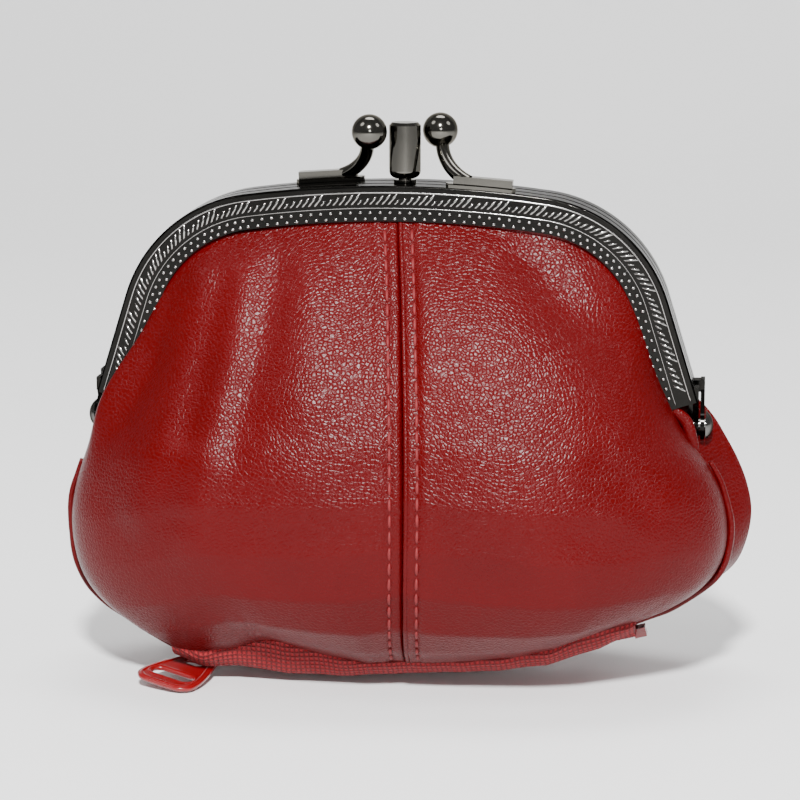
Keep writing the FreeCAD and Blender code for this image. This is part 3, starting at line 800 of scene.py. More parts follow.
@dataclass
class FrameOrnament:
    """Stamped decoration on a frame's outer face: two rows of beads, slanted strokes and fine raised lines,
    all drawn in a lighter nickel whose colour paints their glints.
    """

    arch: Arch
    face: Face
    bead_rows: tuple[float, float] = (5.54, 4.5)
    bead_pitch: float = 1.72
    bead_radius: float = 0.36
    bead_height: float = 0.3
    stroke_pitch: float = 1.06
    stroke_from: float = 3.15
    stroke_lengths: tuple[float, ...] = (0.8, 1.05, 1.3, 1.5, 1.7, 1.85)
    stroke_half_width: float = 0.2
    stroke_height: float = 0.3
    stroke_slant: float = 0.75
    ridge_start: float = 0.12
    ridge_end: float = 0.88
    lines: tuple[tuple[float, float], ...] = ((1.15, 0.17), (3.75, 0.1))
    bead_margin: float = 1.0
    stroke_margin: float = 2.0
    line_margin: float = 0.6

    def _place(self, distance: float, inset: float, local: Points) -> Points:
        """Return local points (along, outward, proud) set on the face."""
        x, z, angle = self.arch.at(distance, inset)
        along = np.array([math.cos(angle), 0.0, -math.sin(angle)])
        outward = np.array([math.sin(angle), 0.0, math.cos(angle)])
        proud = np.array([0.0, -1.0, 0.0])
        origin = np.array([x, -self.arch.face_depth, z])
        return origin + local @ np.stack([along, outward, proud])

    def _beads(self, parts: MeshParts) -> None:
        """Add the rows of domed beads.

        Args:
            parts: Where to add them.
        """
        rings, sides = 4, 10
        angles = np.linspace(0.0, 2 * math.pi, sides, endpoint=False)
        local = []
        for ring in range(rings):
            lift = ring / (rings - 1) * math.pi / 2
            radius = self.bead_radius * max(math.cos(lift), 0.05)
            height = self.bead_height * math.sin(lift)
            local += [(radius * math.cos(a), radius * math.sin(a), height) for a in angles]
        local = np.array(local)
        faces = grid_faces(rings, sides, True) + [tuple(range((rings - 1) * sides, rings * sides))]
        reach = self.arch.half_length - self.bead_margin
        for row, inset in enumerate(self.bead_rows):
            count = int(2 * reach / self.bead_pitch)
            for step in range(count):
                distance = -reach + (step + 0.5 * row + 0.25) * self.bead_pitch
                if distance < reach:
                    parts.add(self.face.turn(self._place(distance, inset, local)), faces)

    def _strokes(self, parts: MeshParts) -> None:
        """Add the slanted roof-shaped strokes.

        Args:
            parts: Where to add them.
        """
        half, tall = self.stroke_half_width, self.stroke_height
        reach = self.arch.half_length - self.stroke_margin
        count = int(2 * reach / self.stroke_pitch)
        faces = [(0, 1, 4), (1, 2, 5, 4), (2, 3, 5), (3, 0, 4, 5)]
        for step in range(count):
            distance = -reach + step * self.stroke_pitch
            length = self.stroke_lengths[step % len(self.stroke_lengths)]
            slant = length * self.stroke_slant
            local = np.array(
                [
                    (-half, 0.0, 0.0),
                    (half, 0.0, 0.0),
                    (half + slant, length, 0.0),
                    (slant - half, length, 0.0),
                    (self.ridge_start * slant, self.ridge_start * length, tall),
                    (self.ridge_end * slant, self.ridge_end * length, tall),
                ]
            )
            placed = self._place(distance, self.stroke_from, local)
            parts.add(self.face.turn(placed), faces)

    def _lines(self, parts: MeshParts) -> None:
        """Add the fine raised lines.

        Args:
            parts: Where to add them.
        """
        reach = self.arch.half_length - self.line_margin
        for inset, radius in self.lines:
            flat = self.arch.line(inset, -reach, reach, 220)
            path = np.stack([flat[:, 0], np.full(len(flat), -self.arch.face_depth), flat[:, 1]], axis=1)
            add_tube(parts, self.face.turn(path), radius, 6)

    def build(self, finishes: Finishes) -> bpy.types.Object:
        """Make the decoration.

        Args:
            finishes: The finishes.

        Returns:
            The piece.
        """
        parts = MeshParts()
        self._beads(parts)
        self._strokes(parts)
        self._lines(parts)
        # The relief is drawn in the lighter nickel that paints its glints.
        made = parts.build(self.face.value + "_frame_engraving", [finishes.stamped], Slot.FRAME)
        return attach(made, self.face.body.value)


@dataclass
class MetalFrames:
    """The three frames, their hinge tabs and rivets."""

    arch: Arch
    nodes: dict[str, bpy.types.Object]

    def dress(self, finishes: Finishes) -> None:
        """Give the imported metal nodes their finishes.

        Args:
            finishes: The finishes.
        """
        for name, node in self.nodes.items():
            if name.endswith("_frame") or name.endswith("_hinge_tab"):
                dress_node(node, finishes.nickel)
            elif "_clasp_" in name or name.startswith("clasp_post"):
                # The clasp gets the lighter nickel copy whose colour paints its reflections.
                dress_node(node, finishes.clasp)
            elif name.endswith("_hinge_rivet"):
                dress_node(node, finishes.bright)

    def build(self, finishes: Finishes) -> list[bpy.types.Object]:
        """Make the stamped decoration of both outer frames.

        Args:
            finishes: The finishes.

        Returns:
            The pieces.
        """
        return [FrameOrnament(self.arch, face).build(finishes) for face in Face]


@dataclass
class Clasp:
    """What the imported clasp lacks: the lower bar that each arm is brazed to."""

    arch: Arch
    clasp_x: float = 1.2
    start_x: float = 7.4
    end_x: float = 19.1
    half_width: float = 1.75
    thickness: float = 0.75
    middle_y: float = -4.25
    sunk: float = 0.05
    end_rounding: float = 0.5
    section: tuple[tuple[float, float], ...] = (
        (-1.0, 0.0), (-1.0, 0.75), (-0.8, 1.0), (0.8, 1.0), (1.0, 0.75), (1.0, 0.0),
    )

    def build(self, finishes: Finishes) -> list[bpy.types.Object]:
        """Make the lower bars.

        Args:
            finishes: The finishes.

        Returns:
            The pieces.
        """
        made = []
        for face in Face:
            shift = self.clasp_x if face is Face.FRONT else -self.clasp_x
            xs = np.linspace(self.start_x + shift, self.end_x + shift, 24)
            base = self.arch.crown_top - self.arch.crown_radius + np.sqrt(self.arch.crown_radius**2 - xs**2)
            taper = np.clip(np.minimum(xs - xs[0], xs[-1] - xs) / self.end_rounding, 0.35, 1.0)
            grid = []
            for x, z, narrow in zip(xs, base, taper):
                for side, lift in self.section:
                    y = self.middle_y + side * self.half_width * narrow
                    grid.append((x, y, z + lift * self.thickness - self.sunk))
            points = face.turn(np.array(grid).reshape(-1, 3))
            parts = MeshParts()
            corners = len(self.section)
            faces = grid_faces(len(xs), corners, True)
            faces.append(tuple(range(corners))[::-1])
            faces.append(tuple(range((len(xs) - 1) * corners, len(xs) * corners)))
            parts.add(points, faces)
            # The bars get the clasp's lighter nickel, whose colour paints reflections.
            bar = parts.build(face.value + "_clasp_bar", [finishes.clasp], Slot.CLASP)
            for polygon in bar.data.polygons:
                polygon.use_smooth = False
            made.append(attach(bar, face.body.value))
        return made


@dataclass
class ChannelCords:
    """Twisted paper cords that pack the leather into the channels."""

    arch: Arch
    inset: float = 1.7
    radius: float = 0.82
    lay: float = 3.4
    end_gap: float = 0.6

    def build(self, finishes: Finishes) -> list[bpy.types.Object]:
        """Make the three cords.

        Args:
            finishes: The finishes.

        Returns:
            The pieces.
        """
        made = []
        for name, body in (("front", Body.FRONT), ("middle", Body.PURSE), ("back", Body.BACK)):
            node = name + "_frame_cord"
            low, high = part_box(node)
            depth = (low.y + high.y) / 2 / MM
            foot = self.arch.hinge_height + self.arch.foot_height - self.end_gap
            reach = self.arch.half_length - (low.z / MM - foot)
            flat = self.arch.line(self.inset, -reach, reach, 700)
            path = np.stack([flat[:, 0], np.full(len(flat), depth), flat[:, 1]], axis=1)
            length = np.linspace(0.0, 2 * reach, len(path))
            angles = np.linspace(0.0, 2 * math.pi, 12, endpoint=False)
            twist = 2 * math.pi * length[:, None] / self.lay
            radii = self.radius * (0.93 + 0.07 * np.cos(3 * angles[None, :] - twist))
            parts = MeshParts()
            add_tube(parts, path, radii, 12)
            cord = parts.build(name + "_twisted_cord", [finishes.cord], Slot.CORD)
            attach(cord, body.value)
            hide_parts(node)
            made.append(cord)
        return made


# ---------------------------------------------------------------- the leather


@dataclass(frozen=True)
class Fold:
    """A soft ridge or, with a negative height, a valley along a line of x, z points."""

    line: tuple[tuple[float, float], ...]
    width: float
    height: float

    def rise(self, x: Points, z: Points) -> Points:
        """Return how far the leather stands out.

        Args:
            x: Places across the purse.
            z: Heights.

        Returns:
            The rise at each place.
        """
        best = np.full(np.shape(x), 1e9)
        for (ax, az), (bx, bz) in zip(self.line, self.line[1:]):
            dx, dz = bx - ax, bz - az
            t = np.clip(((x - ax) * dx + (z - az) * dz) / (dx * dx + dz * dz), 0.0, 1.0)
            best = np.minimum(best, (x - ax - t * dx) ** 2 + (z - az - t * dz) ** 2)
        return self.height * np.exp(-best / self.width**2)


SEAM = ((2.6, 4.9), (2.7, 8.0), (3.3, 18.0), (3.6, 33.1), (3.2, 48.2), (2.1, 65.1), (0.7, 78.9), (0.6, 80.6))
CENTRE_PROFILE = (
    (4.5, -11.4), (6.0, -13.6), (8.0, -16.6), (13.0, -21.4), (20.0, -24.8), (28.0, -26.1), (36.0, -25.8),
    (45.0, -23.6), (53.0, -20.6), (61.0, -16.8), (69.0, -12.4), (75.0, -8.9), (79.0, -6.3), (81.0, -5.0),
)
ZIP_EDGE = (
    (-46.0, 10.6), (-40.0, 7.4), (-34.0, 5.4), (-30.8, 6.0), (-26.9, 6.6), (-22.2, 8.0), (-19.1, 7.9),
    (-15.6, 6.8), (-10.5, 5.7), (-3.6, 4.5), (1.6, 5.1), (7.5, 5.0), (13.6, 5.4), (20.5, 6.1), (27.2, 7.6),
    (35.7, 11.2), (40.1, 12.0),
)
TAPE_EDGE = (
    (-43.0, 6.9), (-38.0, 4.2), (-32.7, 2.3), (-26.6, 2.6), (-18.7, 1.6), (-9.1, 1.3), (4.8, 2.2),
    (18.5, 3.0), (26.3, 4.2), (35.6, 7.4), (41.2, 10.4), (46.0, 13.4),
)
FRONT_RIGHT_SIDE = (
    (40.1, -9.8, 12.0), (43.6, -9.3, 13.4), (46.8, -8.6, 14.6), (50.5, -7.8, 16.7), (54.2, -7.2, 19.4),
    (56.2, -6.8, 22.6), (57.2, -6.5, 26.6), (56.9, -6.3, 30.6), (56.0, -6.1, 34.6), (54.4, -6.0, 38.2),
    (51.8, -5.8, 41.6), (49.0, -5.6, 44.2), (47.6, -5.4, 47.2), (46.8, -5.2, 50.4),
)
FRONT_LEFT_SIDE = (
    (-36.0, -9.6, 5.2), (-40.5, -8.6, 7.4), (-46.0, -7.2, 10.3), (-51.2, -6.0, 13.6), (-54.6, -5.2, 17.4),
    (-56.0, -4.8, 22.2), (-56.6, -4.6, 27.4), (-56.3, -4.5, 31.4), (-55.2, -4.4, 35.2), (-53.8, -4.4, 38.8),
    (-52.0, -4.6, 42.2), (-50.2, -4.8, 45.2), (-48.2, -5.0, 48.2), (-46.8, -5.2, 50.4),
)
BACK_RIGHT_SIDE = (
    (40.5, 9.6, 8.2), (44.5, 8.6, 9.4), (49.0, 7.0, 12.2), (54.0, 5.4, 15.8), (58.2, 4.4, 19.6),
    (60.2, 4.0, 24.0), (61.0, 3.8, 29.2), (60.2, 3.8, 34.0), (58.4, 3.9, 38.6), (56.2, 4.0, 42.6),
    (54.2, 4.1, 45.8), (51.6, 4.4, 48.6), (48.6, 4.8, 50.4), (46.8, 5.2, 51.4),
)


@dataclass
class Panel:
    """One of the four leather panels, from the middle seam to the side seam."""

    arch: Arch
    face: Face
    side: Side
    edge: Sequence[Sequence[float]]
    folds: Sequence[Fold]
    overhang: float = 0.0
    puff: float = 2.0
    thickness: float = 1.0
    columns: int = 112
    rows: int = 132
    crowding: float = 1.45
    top_inset: float = 5.3
    leg_overlap: float = 3.6
    leg_depth: float = 5.0
    smoothing_passes: int = 60
    seed: float = 1.0
    surface: BVHTree | None = None

    @property
    def name(self) -> str:
        """The panel's name."""
        return f"{self.face.value}_{self.side.name.lower()}"

    def _plan(self) -> tuple[Points, Points, Points, Points]:
        """Return x, z, the centre depth and the side depth over the grid, drawn on the right and front."""
        sign = self.side.value if self.face is Face.FRONT else -self.side.value
        drawn = np.abs(np.asarray(self.edge, float)) * np.array([1.0, -1.0, 1.0])
        t = np.linspace(0.0, 1.0, self.columns)
        across = 1.0 - (1.0 - t) ** self.crowding
        seam = smooth_line([(sign * x, z) for x, z in SEAM], self.rows)
        middle = self.arch.shoulder_middle
        top_start = seam[-1, 0]
        reach = middle - top_start
        top = np.array([self.arch.at(top_start + reach * u, self.top_inset)[:2] for u in across])
        seam[-1] = top[0]
        leg = self.arch.line(self.top_inset, self.arch.half_length - self.leg_overlap, middle, 40)
        leg = np.stack([leg[:, 0], np.full(len(leg), -self.leg_depth), leg[:, 1]], axis=1)
        side_line = np.concatenate([drawn, leg[::5]])
        right = smooth_line(side_line, self.rows)
        for _ in range(self.smoothing_passes):
            right[1:-1] = 0.5 * right[1:-1] + 0.25 * (right[:-2] + right[2:])
        corner = right[0]
        zip_x = seam[0, 0] + (corner[0] - seam[0, 0]) * across
        edge_z = np.interp(zip_x * sign, *np.array(ZIP_EDGE).T)
        edge_z += (corner[2] - edge_z[-1]) * across**3 + (seam[0, 1] - edge_z[0]) * (1 - across) ** 6
        bottom = np.stack([zip_x, edge_z], axis=1)
        v = np.linspace(0.0, 1.0, self.rows)[:, None, None]
        u = across[None, :, None]
        left2, right2 = seam[:, None, :], right[:, None, [0, 2]]
        grid = (1 - v) * bottom[None] + v * top[None] + (1 - u) * left2 + u * right2
        grid -= (1 - u) * (1 - v) * bottom[0] + u * (1 - v) * bottom[-1]
        grid -= (1 - u) * v * top[0] + u * v * top[-1]
        centre = np.interp(seam[:, 1], *np.array(CENTRE_PROFILE).T)
        return grid[:, :, 0], grid[:, :, 1], centre[:, None], right[:, 1][:, None]

    def _sway(self, x: float, z: float) -> float:
        """Return the leather's slow unevenness at a place."""
        return 0.7 * wander(x, z * 0.45, 17.0, self.seed) + 0.06 * wander(x, z, 7.0, self.seed + 7)

    def outer(self) -> Points:
        """Return the outer face's grid in its own place."""
        x, z, centre, side = self._plan()
        t = np.linspace(0.0, 1.0, self.columns)
        u = (1.0 - (1.0 - t) ** self.crowding)[None, :]
        v = np.linspace(0.0, 1.0, self.rows)[:, None]
        square = 2.25 - 0.35 * v
        full = np.clip(1.0 - u**square, 0.0, 1.0) ** (1.0 / square)
        y = side + (centre - side) * full
        y -= self.puff * np.sin(math.pi * u**0.85) ** 1.3 * np.sin(math.pi * np.clip(v * 1.02, 0, 1)) ** 0.7
        drawn_x = x * (self.side.value if self.face is Face.FRONT else -self.side.value)
        fade = np.clip(1.0 - u**6, 0.0, 1.0) * np.clip((1.0 - v) * 14.0, 0.0, 1.0)
        lift = sum((fold.rise(drawn_x, z) for fold in self.folds), np.zeros_like(x))
        y -= (lift + np.vectorize(self._sway)(drawn_x, z)) * fade
        from_seam = x - x[:, :1]
        y += 0.38 * np.exp(-((from_seam / 0.32) ** 2)) - 0.22 * bell(from_seam, 1.3, 0.75) * (1 - v**8)
        y += 0.36 * bell(from_seam, 2.3, 0.42) - 0.14 * bell(from_seam, 3.5, 0.9)
        reach = self.overhang * bell(z, 51.5, 9.5) * np.exp(-(((u - 0.962) / 0.042) ** 2))
        x = x + reach
        points = np.stack([x * (1 if self.side is Side.RIGHT else -1), y, z], axis=2)
        if self.face is Face.BACK:
            points[:, :, 1] *= -1.0
        return points

    def build(self, finishes: Finishes) -> bpy.types.Object:
        """Make the panel.

        Args:
            finishes: The finishes.

        Returns:
            The piece.
        """
        points = self.outer()
        parts = MeshParts()
        forward = (0.0, -1.0 if self.face is Face.FRONT else 1.0, 0.0)
        add_shell(parts, points, self.thickness, np.array(forward))
        rows, columns, _ = points.shape
        self.surface = BVHTree.FromPolygons(points.reshape(-1, 3).tolist(), grid_faces(rows, columns))
        made = parts.build(self.name + "_leather", [finishes.leather, finishes.lining], Slot.LEATHER)
        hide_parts(self.name + "_panel", self.name + "_panel_top")
        return bend_at_hinge(made)


def bend_at_hinge(piece: bpy.types.Object) -> bpy.types.Object:
    """Bake the piece's placement into its mesh.

    Args:
        piece: The piece.

    Returns:
        The piece.
    """
    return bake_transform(piece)


@dataclass
class Gusset:
    """The strip of leather between the front and back side seams."""

    side: Side
    front: Sequence[Sequence[float]]
    back: Sequence[Sequence[float]]
    valley: float = 4.5
    rows: int = 100
    bare_rows: int = 17
    bare_rows_behind: int = 9
    columns: int = 26

    def build(self, finishes: Finishes) -> bpy.types.Object:
        """Make the strip.

        Args:
            finishes: The finishes.

        Returns:
            The piece.
        """
        keep = self.rows - self.bare_rows
        first = smooth_line(self.front, self.rows)[:keep]
        tall = smooth_line(self.back, self.rows)[: self.rows - self.bare_rows_behind]
        places = np.linspace(0.0, len(tall) - 1.0, keep)
        last = np.stack([np.interp(places, np.arange(len(tall)), tall[:, k]) for k in range(3)], axis=1)
        t = np.linspace(0.0, 1.0, self.columns)[None, :, None]
        points = first[:, None, :] * (1 - t) + last[:, None, :] * t
        s = np.linspace(0.0, 1.0, keep)[:, None]
        u = t[:, :, 0]
        sink = self.valley * np.sin(math.pi * u) ** 1.2 * np.clip(s * 1.6 - 0.35, 0.0, 1.0)
        bulge = 1.3 * np.sin(math.pi * u) * np.clip(1.0 - s * 2.2, 0.0, 1.0)
        ripple = 0.5 * np.sin(2 * math.pi * u) * np.sin(5 * math.pi * s)
        points[:, :, 0] -= self.side.value * (sink - bulge + ripple)
        points[:, :, 1] += 0.6 * np.sin(4 * math.pi * s) * np.sin(math.pi * u)
        parts = MeshParts()
        add_shell(parts, points, 0.8, np.array([float(self.side.value), 0.0, 0.0]))
        name = self.side.name.lower()
        made = parts.build(name + "_side_leather", [finishes.leather, finishes.lining], Slot.LEATHER)
        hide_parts(name + "_gusset")
        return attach(made, Body.PURSE.value)


@dataclass
class Seam:
    """The middle seam of one face: a raised welt in the groove and a row of stitches on each side."""

    face: Face
    left: Panel
    right: Panel
    row: float = 2.3
    pitch: float = 2.75
    thread: float = 0.3
    stitch_sides: int = 8
    stitch_points: int = 9
    welt_shift: float = 0.42
    welt_radius: float = 0.42
    far: float = 60.0

    @property
    def outward(self) -> float:
        """The sign of the outward direction along Y."""
        return -1.0 if self.face is Face.FRONT else 1.0

    def _line(self, shift: float, count: int) -> Points:
        """Return points on the leather at a distance beside the seam."""
        sign = 1.0 if self.face is Face.FRONT else -1.0
        flat = smooth_line([(sign * x, z) for x, z in SEAM], count)
        found = []
        for x, z in flat:
            place = x + shift
            panel = self.right if shift >= 0.0 else self.left
            start = Vector((place, self.outward * self.far, z))
            heading = Vector((0.0, -self.outward, 0.0))
            hit = panel.surface.ray_cast(start, heading)[0]
            if hit is not None:
                found.append(tuple(hit))
        return np.array(found)

    def _stitches(self, parts: MeshParts, shift: float) -> None:
        """Add one row of stitches.

        Args:
            parts: Where to add them.
            shift: The row's distance beside the seam.
        """
        line = self._line(shift, 260)
        length = np.concatenate([[0.0], np.cumsum(np.linalg.norm(np.diff(line, axis=0), axis=1))])
        out = np.array([0.0, self.outward, 0.0])
        for step in range(int(length[-1] / self.pitch) - 1):
            places = (step + 0.6) * self.pitch + np.linspace(0.0, self.pitch * 0.78, self.stitch_points)
            path = np.stack([np.interp(places, length, line[:, k]) for k in range(3)], axis=1)
            bow = np.sin(np.linspace(0.0, math.pi, self.stitch_points))
            path = path + out * (0.34 * bow - 0.1)[:, None]
            add_tube(parts, path, self.thread * (0.55 + 0.45 * bow**0.5), self.stitch_sides)

    def build(self, finishes: Finishes) -> list[bpy.types.Object]:
        """Make the welt and the stitches.

        Args:
            finishes: The finishes.

        Returns:
            The pieces.
        """
        parts = MeshParts()
        for shift in (-self.row, self.row):
            self._stitches(parts, shift)
        thread = parts.build(self.face.value + "_seam_stitches", [finishes.thread], Slot.LEATHER)
        welt_parts = MeshParts()
        line = self._line(self.welt_shift, 160)
        out = np.array([0.0, self.outward, 0.0])
        add_tube(welt_parts, line - out * 0.1, self.welt_radius, 10)
        welt = welt_parts.build(self.face.value + "_seam_welt", [finishes.leather], Slot.LEATHER)
        return [bend_at_hinge(thread), bend_at_hinge(welt)]


@dataclass
class HingeTucks:
    """Folded corners of leather beside each hinge."""

    outer_path: tuple[tuple[float, float, float], ...] = (
        (46.2, -4.9, 49.3), (47.9, -5.0, 48.2), (49.6, -4.8, 46.4), (50.6, -4.9, 43.4), (51.4, -5.0, 40.4),
    )
    inner_path: tuple[tuple[float, float, float], ...] = (
        (46.6, -3.2, 48.4), (48.2, -3.4, 46.8), (49.4, -3.6, 44.6), (50.0, -3.8, 41.6),
    )
    outer_radius: float = 1.35
    inner_radius: float = 1.5
    steps: int = 26
    sides: int = 16

    def build(self, finishes: Finishes) -> list[bpy.types.Object]:
        """Make the folded corners.

        Args:
            finishes: The finishes.

        Returns:
            The pieces.
        """
        made = []
        for side in Side:
            parts = MeshParts()
            lobes = ((self.outer_path, self.outer_radius), (self.inner_path, self.inner_radius))
            for path, size in lobes:
                line = smooth_line(path, self.steps) * np.array([side.value, 1.0, 1.0])
                angles = np.linspace(0.0, 2 * math.pi, self.sides, endpoint=False)
                grow = np.sin(np.linspace(0.25, 2.9, self.steps))[:, None] ** 0.5
                crease = 1.0 - 0.35 * np.abs(np.cos(angles)) ** 3 + 0.12 * np.sin(3 * angles)
                add_tube(parts, line, size * grow * crease[None, :], self.sides)
            name = side.name.lower() + "_hinge_tuck"
            tuck = parts.build(name, [finishes.leather], Slot.LEATHER)
            made.append(bend_at_hinge(tuck))
        return made


WELT_POINTS = 120
WELT_BARE_POINTS = 30
WELT_RADIUS = 0.62


def side_welt(side: Side, edge: Sequence[Sequence[float]], finishes: Finishes) -> bpy.types.Object:
    """Make the narrow turned edge that stands up along a front side seam.

    Args:
        side: Which side.
        edge: The side seam.
        finishes: The finishes.

    Returns:
        The piece.
    """
    line = smooth_line(edge, WELT_POINTS)[:-WELT_BARE_POINTS]
    sway = np.array([0.25 * wander(p[0], p[2], 5.0, 21.0) for p in line])
    line = line + np.stack([side.value * (0.25 + sway), np.full(len(line), -0.1), sway * 0.0], axis=1)
    parts = MeshParts()
    taper = np.sin(np.linspace(0.5, math.pi - 0.5, len(line))) ** 0.5
    add_tube(parts, line, WELT_RADIUS * taper, 10)
    made = parts.build(side.name.lower() + "_side_welt", [finishes.leather], Slot.LEATHER)
    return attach(made, Body.PURSE.value)


@dataclass
class LeatherBag:
    """The whole leather body."""

    arch: Arch
    left_narrowing: float = 0.935
    left_overhang: float = 4.2

    def build(self, finishes: Finishes) -> list[bpy.types.Object]:
        """Make panels, side strips, seams and folded corners.

        Args:
            finishes: The finishes.

        Returns:
            The pieces.
        """
        left_folds = (
            Fold(((-32.6, 70.0), (-34.2, 62.0), (-37.6, 46.0), (-42.0, 32.0)), 4.4, 1.2),
            Fold(((-25.0, 70.0), (-26.4, 58.0), (-29.0, 44.0), (-33.0, 30.0)), 4.2, 1.0),
            Fold(((-29.0, 70.0), (-30.6, 60.0), (-33.6, 46.0)), 2.6, -0.6),
            Fold(((-20.0, 71.0), (-21.4, 60.0), (-25.5, 44.0)), 3.6, -0.8),
            Fold(((-14.0, 70.0), (-13.0, 52.0)), 5.0, 0.7),
            Fold(((-44.0, 41.0), (-28.0, 42.0), (-14.0, 40.0)), 4.2, 0.5),
            Fold(((-40.5, 58.0), (-45.0, 47.0)), 2.6, -0.7),
            Fold(((-52.0, 34.0), (-44.0, 30.0), (-34.0, 31.0)), 3.6, -0.45),
        )
        right_folds = (
            Fold(((12.0, 64.0), (24.0, 60.0), (36.0, 52.0)), 8.5, 1.3),
            Fold(((50.0, 20.0), (44.0, 26.0), (34.0, 30.0)), 4.0, -0.5),
            Fold(((22.0, 75.0), (30.0, 66.0), (38.0, 60.0)), 3.6, -0.9),
            Fold(((6.5, 72.0), (7.5, 56.0)), 2.4, 0.5),
            Fold(((40.0, 46.0), (48.0, 37.0)), 3.0, 0.7),
            Fold(((36.0, 42.0), (44.0, 34.0)), 2.8, -0.5),
        )
        back_right = np.asarray(BACK_RIGHT_SIDE, float)
        back_left = back_right * np.array([self.left_narrowing, 1.0, 1.0])
        front_left = Panel(
            self.arch, Face.FRONT, Side.LEFT, FRONT_LEFT_SIDE, left_folds,
            overhang=self.left_overhang, seed=2.0,
        )
        front_right = Panel(self.arch, Face.FRONT, Side.RIGHT, FRONT_RIGHT_SIDE, right_folds, seed=5.0)
        rear_left = Panel(self.arch, Face.BACK, Side.LEFT, back_left.tolist(), right_folds[:3], seed=9.0)
        rear_right = Panel(self.arch, Face.BACK, Side.RIGHT, back_right.tolist(), left_folds[:3], seed=12.0)
        made = [panel.build(finishes) for panel in (front_left, front_right, rear_left, rear_right)]
        made += Seam(Face.FRONT, front_left, front_right).build(finishes)
        made += Seam(Face.BACK, rear_left, rear_right).build(finishes)
        made.append(Gusset(Side.RIGHT, FRONT_RIGHT_SIDE, BACK_RIGHT_SIDE).build(finishes))
        mirrored = back_left * np.array([-1.0, 1.0, 1.0])
        made.append(Gusset(Side.LEFT, FRONT_LEFT_SIDE, mirrored.tolist()).build(finishes))
        made += HingeTucks().build(finishes)
        for side, edge in ((Side.LEFT, FRONT_LEFT_SIDE), (Side.RIGHT, FRONT_RIGHT_SIDE)):
            made.append(side_welt(side, edge, finishes))
        return made


# ---------------------------------------------------------------- inside and zip


@dataclass
class Interior:
    """The lined divider between the compartments and the lining that closes each one's bottom."""

    arch: Arch
    floor_height: float = 21.0
    divider_y: float = -0.4
    top_inset: float = 4.45
    side_inset: float = 4.4
    floor_half_width: float = 53.0
    floor_depth: float = 21.4
    floor_roundness: float = 2.3

    def _half_width(self, z: float) -> float:
        """Return the divider's half width at a height."""
        if z > self.arch.hinge_height + self.arch.foot_height:
            inner = self.arch.line(self.side_inset, 0.0, self.arch.half_length, 300)
            return float(np.interp(z, inner[::-1, 1], inner[::-1, 0]))
        return float(np.interp(z, [20.0, 28.0, 38.0, 45.0, 50.0], [51.0, 53.0, 50.5, 45.6, 46.5]))

    def build(self, finishes: Finishes) -> list[bpy.types.Object]:
        """Make the divider and the two bottoms.

        Args:
            finishes: The finishes.

        Returns:
            The pieces.
        """
        top = self.arch.crown_top - self.top_inset
        heights = top - (top - self.floor_height) * (1 - np.linspace(0.0, 1.0, 90)) ** 1.5
        heights = np.sort(heights)
        across = np.linspace(-1.0, 1.0, 90)
        grid = np.zeros((len(heights), len(across), 3))
        for i, z in enumerate(heights):
            half = max(self._half_width(z), 0.3)
            slack = 0.5 * math.sin(math.pi * (z - self.floor_height) / (top - self.floor_height))
            for j, u in enumerate(across):
                sway = slack * wander(u * half, z, 16.0, 3.0) * (1 - abs(u) ** 4)
                grid[i, j] = (u * half, self.divider_y + sway, z)
        parts = MeshParts()
        add_shell(parts, grid, 0.8, np.array([0.0, -1.0, 0.0]))
        divider = parts.build("divider_lining", [finishes.lining, finishes.lining], Slot.LINING)
        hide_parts("divider_panel")
        made = [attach(divider, Body.PURSE.value)]
        for face in Face:
            rows = np.linspace(0.0, 1.0, 40)
            bottom = np.zeros((len(rows), len(across), 3))
            for i, v in enumerate(rows):
                power = self.floor_roundness
                half = self.floor_half_width * (1 - (v * 0.985) ** power) ** (1 / power)
                for j, u in enumerate(across):
                    sag = -0.9 * math.sin(math.pi * v) * (1 - u * u)
                    bottom[i, j] = (u * half, -0.9 - v * self.floor_depth, self.floor_height - 0.5 + sag)
            parts = MeshParts()
            turned = face.turn(bottom.reshape(-1, 3)).reshape(bottom.shape)
            add_shell(parts, turned, 0.5, np.array([0.0, 0.0, 1.0]))
            name = face.value + "_pocket_lining"
            piece = parts.build(name, [finishes.lining, finishes.lining], Slot.LINING)
            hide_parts(face.value + "_pocket_floor")
            made.append(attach(piece, Body.PURSE.value))
        return made


